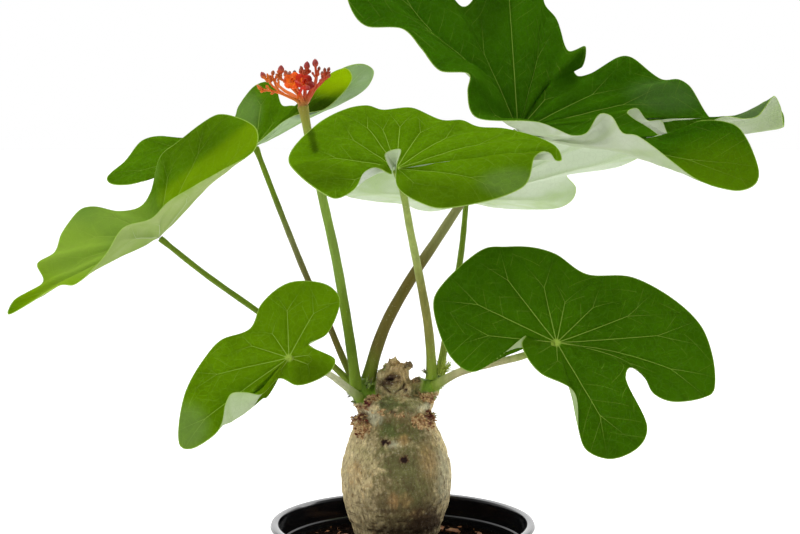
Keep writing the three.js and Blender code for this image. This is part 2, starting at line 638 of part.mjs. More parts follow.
// Soil: fills the pot to just under the band, stands a little higher at the stem, and has bark chips.
function soilHeight(x, y) {
  const distance = Math.hypot(x - STEM_X, y);
  const edge = POT_RIM_RADIUS - 6;
  const rise = SOIL_RISE * (1 - THREE.MathUtils.smoothstep(distance, 14, edge));
  const rough = 0.5 * Math.sin(x / 4.1 + 1) * Math.cos(y / 5.3) + 0.35 * Math.sin((x - y) / 2.9);
  return SOIL_EDGE + rise + rough;
}

const CHIPS = 26;
const CHIP_SIZE = [10, 4.2, 2.2]; // longest length, width and thickness of a bark chip

function barkChip(draw) {
  const bearing = 2 * Math.PI * draw();
  const reach = 27 + 21 * draw();
  const [length, width, thickness] = CHIP_SIZE.map((size) => size * (0.55 + 0.45 * draw()));
  const x = STEM_X * 0.5 + reach * Math.cos(bearing);
  const y = reach * Math.sin(bearing);
  const chip = new THREE.BoxGeometry(length, width, thickness)
    .rotateY(0.5 * (draw() - 0.5))
    .rotateX(0.6 * (draw() - 0.5))
    .rotateZ(2 * Math.PI * draw())
    .translate(x, y, soilHeight(x, y) + 0.35 * thickness);
  return solidOf(chip);
}

function makeSoil() {
  const rings = 6;
  const wallAt = (height) =>
    POT_BASE_RADIUS + ((bodyTopRadius - POT_BASE_RADIUS) * (height - 3)) / (bandBottom - 4) - POT_WALL - 2 * GAP;
  const topRadius = wallAt(SOIL_EDGE);
  const profile = [
    [0, FLOOR + GAP],
    [wallAt(FLOOR + 1) - 2, FLOOR + GAP],
    [wallAt(FLOOR + 3), FLOOR + 3],
  ];
  for (let ring = 0; ring <= rings; ring++) {
    profile.push([topRadius * (1 - ring / rings), SOIL_EDGE]);
  }
  const geometry = revolved(profile, SOIL_FACETS);
  const position = geometry.attributes.position;
  for (let i = 0; i < position.count; i++) {
    const x = position.getX(i);
    const y = position.getY(i);
    const inside = Math.hypot(x, y) < topRadius - 1;
    if (inside && position.getZ(i) > SOIL_EDGE - 1) position.setZ(i, soilHeight(x, y));
  }
  const draw = draws(7301);
  const chips = [];
  for (let i = 0; i < CHIPS; i++) chips.push(barkChip(draw));
  const bore = STEM_PROFILE.filter(([height]) => height <= BULGE_START + 8).map(([height, radius]) => [
    radius + 2.6 * GAP,
    height,
  ]);
  bore.unshift([0, STEM_ROOT - GAP]);
  bore.push([0, bore.at(-1)[1]]);
  const hole = solidOf(revolved(bore, STEM_FACETS).translate(STEM_X, 0, 0));
  return largestBody(joined([solidOf(geometry), ...chips]).subtract(hole));
}

// Assembly: every node is a named mesh with its own material.
const plant = new THREE.Group();

function place(name, solid, colour, roughness) {
  const material = new THREE.MeshStandardMaterial({ color: colour, roughness, metalness: 0 });
  const mesh = new THREE.Mesh(geometryOf(solid), material);
  mesh.name = name;
  plant.add(mesh);
}

place("pot", makePot(), 0x0c0c0e, 0.25);
place("soil", makeSoil(), 0x2c1c14, 0.95);

let stem = joined([
  makeStemBody(),
  ...CROWN.map(crownStub),
  ...SCARS.map(scarLump),
  ...TUFTS.map(stipuleTuft),
]);
for (const stalk of Object.values(STALKS)) stem = stem.subtract(stalkSolid(stalk, GAP));
place("stem", largestBody(stem), 0xa09a80, 0.85);

for (const [name, leaf] of Object.entries(LEAVES)) {
  const seat = bladeSolid(leaf, BLADE + 4 * GAP);
  place(`leafstalk_${name}`, largestBody(fittedStalk(name).subtract(seat)), 0x7c8a4c, 0.5);
  place(`leaf_${name}`, bladeSolid(leaf, BLADE), 0x3f7a1c, 0.45);
}

const headRoom = makeFlowerHead(GAP);
const headSeat = solidOf(
  tube([[-48.2, 5, HEAD_BASE[2] - GAP], [-48.2, 5, HEAD_BASE[2] + 6]], taper(4, 4), STALK_FACETS, 1),
);
place("flower_stalk", largestBody(fittedStalk("flower").subtract(headSeat)), 0x6f9a4c, 0.5);
place("flower_head", makeFlowerHead(), 0xc8452c, 0.5);
for (const [name, flower] of Object.entries(OPEN_FLOWERS)) {
  place(name, largestBody(makeOpenFlower(flower).subtract(headRoom)), 0xe65a1e, 0.5);
}

export default plant;
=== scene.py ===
import math

import bpy
import numpy as np
from bpy.props import FloatProperty, FloatVectorProperty, IntProperty, PointerProperty
from mathutils import Matrix, Vector, kdtree, noise


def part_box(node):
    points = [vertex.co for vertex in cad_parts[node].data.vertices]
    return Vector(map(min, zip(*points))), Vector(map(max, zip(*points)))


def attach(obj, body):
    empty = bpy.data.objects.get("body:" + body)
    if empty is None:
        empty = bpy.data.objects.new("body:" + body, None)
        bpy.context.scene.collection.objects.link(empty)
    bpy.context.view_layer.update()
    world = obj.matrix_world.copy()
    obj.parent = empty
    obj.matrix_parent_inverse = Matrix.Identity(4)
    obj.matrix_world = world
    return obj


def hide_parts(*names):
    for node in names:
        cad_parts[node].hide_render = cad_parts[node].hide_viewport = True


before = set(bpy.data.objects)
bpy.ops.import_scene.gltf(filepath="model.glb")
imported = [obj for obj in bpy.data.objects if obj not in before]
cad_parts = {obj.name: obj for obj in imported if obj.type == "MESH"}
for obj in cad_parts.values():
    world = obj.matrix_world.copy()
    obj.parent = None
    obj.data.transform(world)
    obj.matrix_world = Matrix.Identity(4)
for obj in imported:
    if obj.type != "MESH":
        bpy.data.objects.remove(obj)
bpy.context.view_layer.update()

bl_info = {
    "name": "Potted jatropha",
    "version": (1, 0, 0),
    "blender": (4, 5, 0),
    "location": "View3D > Sidebar > Jatropha",
    "description": "Builds a potted caudex plant with lobed leaves and a coral flower head",
    "category": "Add Mesh",
}

POT_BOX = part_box("pot")
MM = 0.001  # the lists of places below are in millimetres, in the part's own frame
BODY = "root"

# The photograph's camera
CAMERA_PLACE = (-1.3175, -772.46, 305.71)
CAMERA_TILT = 4.9911  # below level, in degrees
CAMERA_LENS = 72.0
CAMERA_SENSOR = 36.0
CAMERA_NEAR = 0.01  # nearest that the camera sees, in metres

# Lamps: name, place, what they point at, size and power, in metres and watts
LAMPS = (
    ("key", (-0.9, -0.6, 1.0), (0, 0, 0.2), 0.9, 9),
    ("back_light", (0.2, 0.7, 1.5), (0, 0, 0.25), 1.0, 12),
    ("right_strip", (1.1, 0.3, 0.4), (0, 0, 0.15), 0.5, 3),
)

# Pot, besides the sizes that its properties hold
POT_WALL = 1.6
RIM_BAND = 11.0  # height of the stiffened band below the lip
BODY_INSET = 3.9  # how far the pot's wall stands in from the lip's edge
FLOOR = 2.4  # thickness of the pot's floor
POT_SIDES = 128
STAY = 1.2  # how far from a long side's ends the points lie that keep its shading level
DRAIN_HOLES = 8
DRAIN_RADIUS = 4.0
DRAIN_RING = 0.7  # where the holes lie, as a share of the foot's radius

# Soil
SOIL_EDGE = 98.5  # height at the pot's wall
SOIL_RISE = 5.0  # how much higher it stands at the stem
SOIL_GAP = 0.6  # room between the soil and the pot
BORE_GAP = 0.8  # room between the soil and the root
BORE_MOUTH = 19.6  # radius of the hole that the stem stands in, at the top
SOIL_SIDES = 200
SOIL_RINGS = 56
CHIPS = 26
SPLINTERS = 70
CHIP_SIZE = (10.0, 4.2, 2.2)

# Draws and their seeds
DRAW_STEP = 16807
DRAW_RANGE = 2147483647
CLOD_SEED = 5501
CHIP_SEED = 7301
CRUMB_SEED = 6203
TUFT_SEED = 4100
LEAF_SEED = 900
BUD_SEED = 3307

# Stem: it stands a little left of the pot's middle, with these radii at heights from the root's tip up.
STEM_X = -3.0
STEM_PROFILE = [
    (62, 0.8), (64, 4.5), (74, 9), (88, 14.5), (98, 17.6), (106, 19.9), (113, 22.6), (119, 24.8),
    (128, 26.7), (137, 27.1), (143, 26.3), (149, 24.8), (155, 22.6), (159, 20.6), (163, 18.7), (167, 17.4),
    (170, 17.4), (173, 17.6), (175.5, 14),
]
BULGE_START = 106  # the stem is plain and round below this
CRUMB_START = 120  # and no crumbs of cork lie below this

# Crown: the broken stump in the middle and a corky stub on each side, with green shoots on top. Each has a
# path and its radii at both ends, then a stub its roughness and a shoot the height where the green begins.
CROWN = [
    ([(-4.8, 0, 162), (-5.2, 0, 174), (-5.5, 0, 182)], (11.5, 8.6), 0.4),
    ([(-5.5, 0, 178), (-5.3, 0.3, 184), (-5, 0.5, 187)], (8.6, 7.3), 0.4),
    ([(-3.6, 0.5, 182), (-3, 0.8, 187), (-2.5, 1, 189.4)], (7.2, 5.5), 0.4),
    ([(-3.8, 1, 186), (-4.2, 1, 190), (-4.5, 1, 192.8)], (4, 2.3), 0.3),
    ([(0, 0.4, 184), (0.8, 0.4, 188), (1.3, 0.4, 190.6)], (3.4, 2.3), 0.3),
    ([(-10.5, 0, 163), (-15.5, 0, 170), (-18.6, 0, 175)], (8.6, 6.2), 0.6),
    ([(2.5, 0, 163), (6.8, 0, 173), (8.2, -0.6, 183.6)], (9.4, 3.6), 0.5),
    ([(5.6, 0, 163), (8.4, 0, 169.6), (12.2, 0, 176)], (7, 4.4), 0.5),
    ([(2, -4.6, 166), (2.6, -6, 174), (2.6, -6.6, 181)], (6, 3), 0.2),
]
SHOOTS = [
    ([(-17.4, -0.5, 171.5), (-19.8, 0, 178), (-21, 0.5, 182.8)], (6, 3.6), 171.5),
    ([(13, -0.4, 177), (15, 0, 182), (16.2, 0.4, 186)], (4.8, 3.2), 176.5),
]

# Marks on the bark: kind, place, half size and strength. The broad darkening of the stem and its stubs
# is painted shade, and the dark marks round the crown's stubs are painted shade in its creases.
MARKS = [
    ("painted_shade", (4, -24, 134), (21, 18, 36), 0.9), ("painted_shade", (14, -18, 146), (13, 12, 20), 0.8),
    ("painted_shade", (-2, -20, 163), (17, 12, 11), 1.0), ("painted_shade", (4, 20, 140), (20, 14, 26), 0.5),
    ("painted_shade", (-9.6, -6, 183), (5, 12, 9), 0.6), ("painted_shade", (9, -8, 178), (7, 9, 8), 0.7),
    ("green", (-1, -22, 147), (11, 16, 14), 0.55), ("green", (3, -24, 135), (8, 14, 12), 0.5),
    ("green", (-5, -17, 161), (7, 14, 5), 0.9), ("green", (4, -17, 160), (7, 12, 4), 0.5),
    ("green", (-6, -14, 174), (7, 12, 4.4), 0.85), ("green", (5, -12, 172.6), (8, 12, 3.4), 0.6),
    ("green", (6, -6, 178.6), (3, 10, 6), 0.7), ("green", (-12.4, -8, 178), (2.6, 8, 4), 0.6),
    ("green", (-18, -18, 146), (8, 8, 8), 0.25), ("green", (12, 20, 150), (7, 9, 14), 0.6),
    ("green", (-14, 18, 136), (9, 9, 12), 0.5), ("bloom", (-14.8, -13, 167), (5, 8, 4.4), 0.55),
    ("bloom", (11, -11, 171.4), (5, 8, 2.2), 0.45), ("bloom", (-4.4, -22, 155.4), (3.6, 5, 1.9), 0.5),
    ("bloom", (20, -12, 138), (6, 9, 16), 0.3), ("rust", (1.8, -26.3, 128.7), (3, 3, 4), 0.35),
    ("bloom", (-25.6, -3, 178), (2.6, 6, 5), 0.7), ("bloom", (0, 22, 156), (8, 6, 4), 0.5),
    ("rust", (-4.2, -26.7, 128.8), (3, 3, 4.2), 0.6), ("rust", (-21.4, -17, 140.6), (6, 6, 6), 0.3),
    ("rust", (0.1, -21.3, 157), (3.2, 3, 3.2), 0.5), ("rust", (13, -20, 147), (7, 5, 8), 0.3),
    ("rust", (7, -24, 122.5), (7, 4, 2.4), 0.4), ("rust", (-1, -4, 187), (9, 12, 9), 0.4),
    ("rust", (12, 21, 128), (8, 8, 6), 0.4), ("dark", (11, -18, 116.5), (16, 12, 10), 0.95),
    ("dark", (-1, -23, 112), (15, 7, 5), 0.8), ("dark", (-8.4, -25, 123.8), (7, 4, 1.5), 0.5),
    ("dark", (-9.5, -25, 130), (5, 4, 4), 0.3), ("dark", (-8.4, -8, 183), (6, 7, 2.8), 1.0),
    ("dark", (-4.6, -9, 185.4), (3.4, 7, 1.7), 1.0), ("dark", (11.6, -4, 178.2), (4, 6, 2.6), 0.95),
    ("dark", (-4.7, -17.3, 170.2), (1.7, 2, 1.2), 0.9), ("dark", (2.2, 0, 190), (1.8, 4, 1.6), 0.8),
    ("dark", (-14.6, -6, 180), (2.4, 6, 3.4), 0.8), ("dark", (8.2, -3, 184.4), (3.6, 6, 2), 0.9),
    ("dark", (12.4, -5, 180.4), (3.4, 6, 2.4), 0.8), ("dark", (-12, -16, 103), (14, 12, 4), 0.7),
    ("dark", (0, 20, 110), (18, 9, 8), 0.8), ("maroon", (11.8, -9.6, 166.8), (4.4, 6, 3), 1.0),
    ("maroon", (-20.8, -9, 166.2), (4.4, 6, 2.6), 1.0), ("maroon", (-16, -8, 173), (3.6, 6, 2.4), 1.0),
    ("maroon", (-14, 13, 164), (3, 4, 3), 0.9),
]
STUMP_HOLLOW = ((-5.6, -8.4, 184.6), (2.8, 3.4, 1.2))
SHIELD_TIP = (-4.5, 177.5)  # right and up, of the cut face in front of the stump
SHIELD_HEIGHT = 5.8
SHIELD_HALF = 6.4
KNOB_EYE = ((0.9, -10, 179.8), (1.5, 4, 1.8))

# Corky scars of old leaves and branches: place and half size.
SCARS = [
    ((-20, -8.4, 164), (4, 4.2, 3.4)), ((-18.4, -11, 160.6), (4.4, 3.6, 3.8)),
    ((-14, -8, 174), (4.4, 3.4, 2.6)), ((8, -13.8, 165), (4.6, 3.4, 3.2)),
    ((11.4, -9.6, 164.6), (4, 4.4, 3.9)), ((11.6, -5, 175), (3.8, 3.8, 2.4)),
    ((-8.2, -21.4, 156.5), (2.2, 1.6, 1.7)), ((0.6, -24.4, 148.8), (2.2, 1.6, 1.7)),
    ((-14, 13.5, 163), (4.4, 3.8, 4.2)), ((5, 16.5, 160.5), (4.4, 3.4, 4.6)),
    ((-4, 22.6, 152), (2.4, 1.8, 2)),
]

# Bristly stipules: root, direction, number of bristles and their reach.
TUFTS = [
    ((-25, -3.5, 177), (-1, -0.5, -0.1), 10, 4.4), ((-23, -5, 173.6), (-0.9, -0.7, -0.3), 7, 3.2),
    ((-24.2, 3.2, 181.6), (-0.6, 0.3, 0.9), 8, 5), ((-16.6, -3.6, 182), (0.5, -0.3, 0.8), 7, 4.4),
    ((18.4, -1.6, 187.6), (0.5, -0.5, 0.8), 16, 7.4), ((20, -0.4, 187.4), (0.9, -0.3, 0.7), 14, 7.6),
    ((12.4, -2.6, 186.4), (-0.8, -0.4, 0.7), 11, 5.6), ((17.6, -3.4, 180), (0.9, -0.5, -0.1), 8, 4.6),
    ((-9.6, -2, 187.4), (-0.5, -0.3, 0.9), 2, 6), ((15, -8, 166.8), (0.9, -0.6, 0.2), 8, 3.4),
    ((-22, -8, 165.6), (-0.8, -0.6, 0.3), 6, 2.6), ((15, -5, 175.4), (0.9, -0.5, 0.2), 6, 3),
]

# Skin colours that the stalks run through
LIME = (0.17, 0.26, 0.02)
GREEN = (0.125, 0.20, 0.012)
DEEP = (0.085, 0.14, 0.008)
PALE = (0.27, 0.33, 0.085)
SILVER = (0.42, 0.43, 0.26)
OLIVE = (0.115, 0.09, 0.02)
KHAKI = (0.21, 0.21, 0.08)
MOSSY = (0.20, 0.19, 0.045)
PINKISH = (0.36, 0.34, 0.17)
BLOOM = (0.19, 0.29, 0.045)
STALK_TOP = (0.27, 0.23, 0.04)

# Stalks: routes from the shoots, end radii, and skin colours from foot to top.
STALKS = {
    "leafstalk_near_left": (
        [(-20.8, -5, 175), (-28, -14, 182.6), (-34.4, -28, 190), (-43, -41, 196.6),
         (-52, -50, 201)],
        (1.9, 1.3), (LIME, SILVER, SILVER, SILVER, LIME),
    ),
    "leafstalk_far_left": (
        [(-23.6, 3, 179), (-35, 1.4, 190.6), (-48, -3, 200.8), (-69, -10, 217.4), (-94, -16, 236.4),
         (-115, -20, 254)],
        (1.6, 1.3), (LIME, OLIVE, GREEN, GREEN, GREEN),
    ),
    "leafstalk_high_left": (
        [(-21.6, 5.4, 175), (-31, 9.4, 196), (-36, 12.6, 207.5), (-47, 20, 230), (-60, 31, 260),
         (-75, 45, 296)],
        (1.7, 1.4), (GREEN, OLIVE, OLIVE, KHAKI, GREEN, LIME),
    ),
    "leafstalk_middle": (
        [(14.2, -1.6, 184.4), (13.4, -4.6, 199), (11.8, -9, 213.4), (7.8, -20, 236),
         (3.4, -35, 258.6), (0, -49, 276.8), (-3, -55, 287)],
        (2.4, 1.5), (LIME, MOSSY, MOSSY, PALE, PALE, LIME),
    ),
    "leafstalk_back": (
        [(18, 3.6, 184.4), (20.4, 8, 198), (23.4, 16, 213), (27.4, 29, 229.6), (30.4, 46, 244),
         (33, 68, 260.6), (34, 80, 267)],
        (1.9, 1.4), (LIME, MOSSY, GREEN, GREEN, LIME),
    ),
    "leafstalk_near_right": (
        [(15.4, -3.8, 180.8), (21.8, -8.6, 185.4), (28, -14.4, 189.4), (41, -26, 194.8),
         (55.2, -38, 200.2), (65, -46, 205.4), (70, -50, 208)],
        (2.1, 1.5), (LIME, PINKISH, PINKISH, PINKISH, PALE, LIME),
    ),
    "leafstalk_high_right": (
        [(-17.6, 4, 179.6), (-12.8, 5, 197.6), (-7.2, 6.4, 211.8), (4.6, 9, 232.4), (16.4, 12, 250),
         (28.2, 15, 267.6), (40.6, 18, 284.8), (50.4, 19.6, 297.4), (57, 20, 304)],
        (3.2, 1.8), (LIME, OLIVE, OLIVE, OLIVE, KHAKI, KHAKI, GREEN, LIME),
    ),
    "flower_stalk": (
        [(-22.4, -2, 178.6), (-25.1, -1.4, 198.8), (-27.2, -0.4, 212.4), (-32.4, 2, 242.4),
         (-38.6, 4, 270.4), (-44.4, 5, 295.8), (-48.2, 5, 315.8)],
        (2.6, 2.0), (LIME, DEEP, GREEN, BLOOM, BLOOM, BLOOM, BLOOM, STALK_TOP),
    ),
}
STALK_SWELLING = 0.35  # how much thicker a stalk is where it leaves the shoot
STALK_SIDES = 20
STALK_RING = 1.4  # length of a stalk's mesh faces

# Lesser tones of the materials
STRAW = (0.09, 0.04, 0.018)  # fibres in the soil
CHIP_PALE = (0.27, 0.14, 0.065)
OCHRE = (0.40, 0.24, 0.09)
RUST = (0.42, 0.24, 0.09)
# Dark bark, and painted shade in the crown's creases, seams and hollows
DARK_BARK_AND_SHADE = (0.05, 0.027, 0.013)
BARK_FLECK = (0.74, 0.68, 0.53)
MAROON = (0.075, 0.012, 0.01)
# Painted shade deep in the sunk pits of small scars and of the stump
HOLLOW_SHADE = (0.02, 0.007, 0.005)
SHOOT_BLOOM = (0.42, 0.52, 0.24)
CORK_BROWN = (0.26, 0.12, 0.045)
CORK_TAN = (0.60, 0.43, 0.21)
CRUMB_TAN = (0.62, 0.45, 0.22)
SKIN_STREAK = (0.05, 0.07, 0.015)
SKIN_FLECK = (0.5, 0.5, 0.33)
BRISTLE_TIP = (0.10, 0.045, 0.02)
BRISTLE_LIME = (0.34, 0.42, 0.03)
LEAF_SUNNY = (0.27, 0.40, 0.002)
# Pale grey green of a painted sheen
LEAF_PAINTED_SHEEN = (0.40, 0.46, 0.28)
LEAF_SHADE = (0.42, 0.45, 0.5)  # what a shady place multiplies the green by
LEAF_RIM = (0.34, 0.48, 0.09)
BACK_RIB = (0.74, 0.80, 0.62)
# The greener, darker places of a back: tone that varies at random, and painted shade beside the ribs
BACK_GREEN_AND_SHADE = (0.68, 0.78, 0.5)  # what the greener places of a back multiply its tone by
SHEER_SUNNY = (0.42, 0.62, 0.004)
SHEER_SHADY = (0.02, 0.05, 0.001)
SHEER_RIM = (0.6, 0.75, 0.2)
TWIG_ORANGE = (0.62, 0.14, 0.012)
TWIG_TAN = (0.60, 0.22, 0.09)
TWIG_FOOT = ((0.20, 0.19, 0.03), (0.42, 0.22, 0.06))
BUD_YOUNG = (0.13, 0.055, 0.03)
BUD_DUST = (0.42, 0.20, 0.18)
PETAL_ORANGE = (0.85, 0.14, 0.008)
PETAL_STREAK = (0.45, 0.012, 0.004)
PETAL_SHADE = (0.16, 0.004, 0.003)

# Where some tones begin and end, in metres
WRINKLE_END = (0.119, 0.130)  # heights over which the bark's level wrinkles fade out
LIME_START = (0.014, 0.019)  # how far right the bristles turn lime
HEAD_FOOT = (0.3150, 0.3215)  # heights over which the flower head turns from its stalk's tone to coral
# The right side of the riper flower is darkened with painted shade
PETAL_DUSK = (-0.0478, -0.0435)  # how far right the riper flower darkens
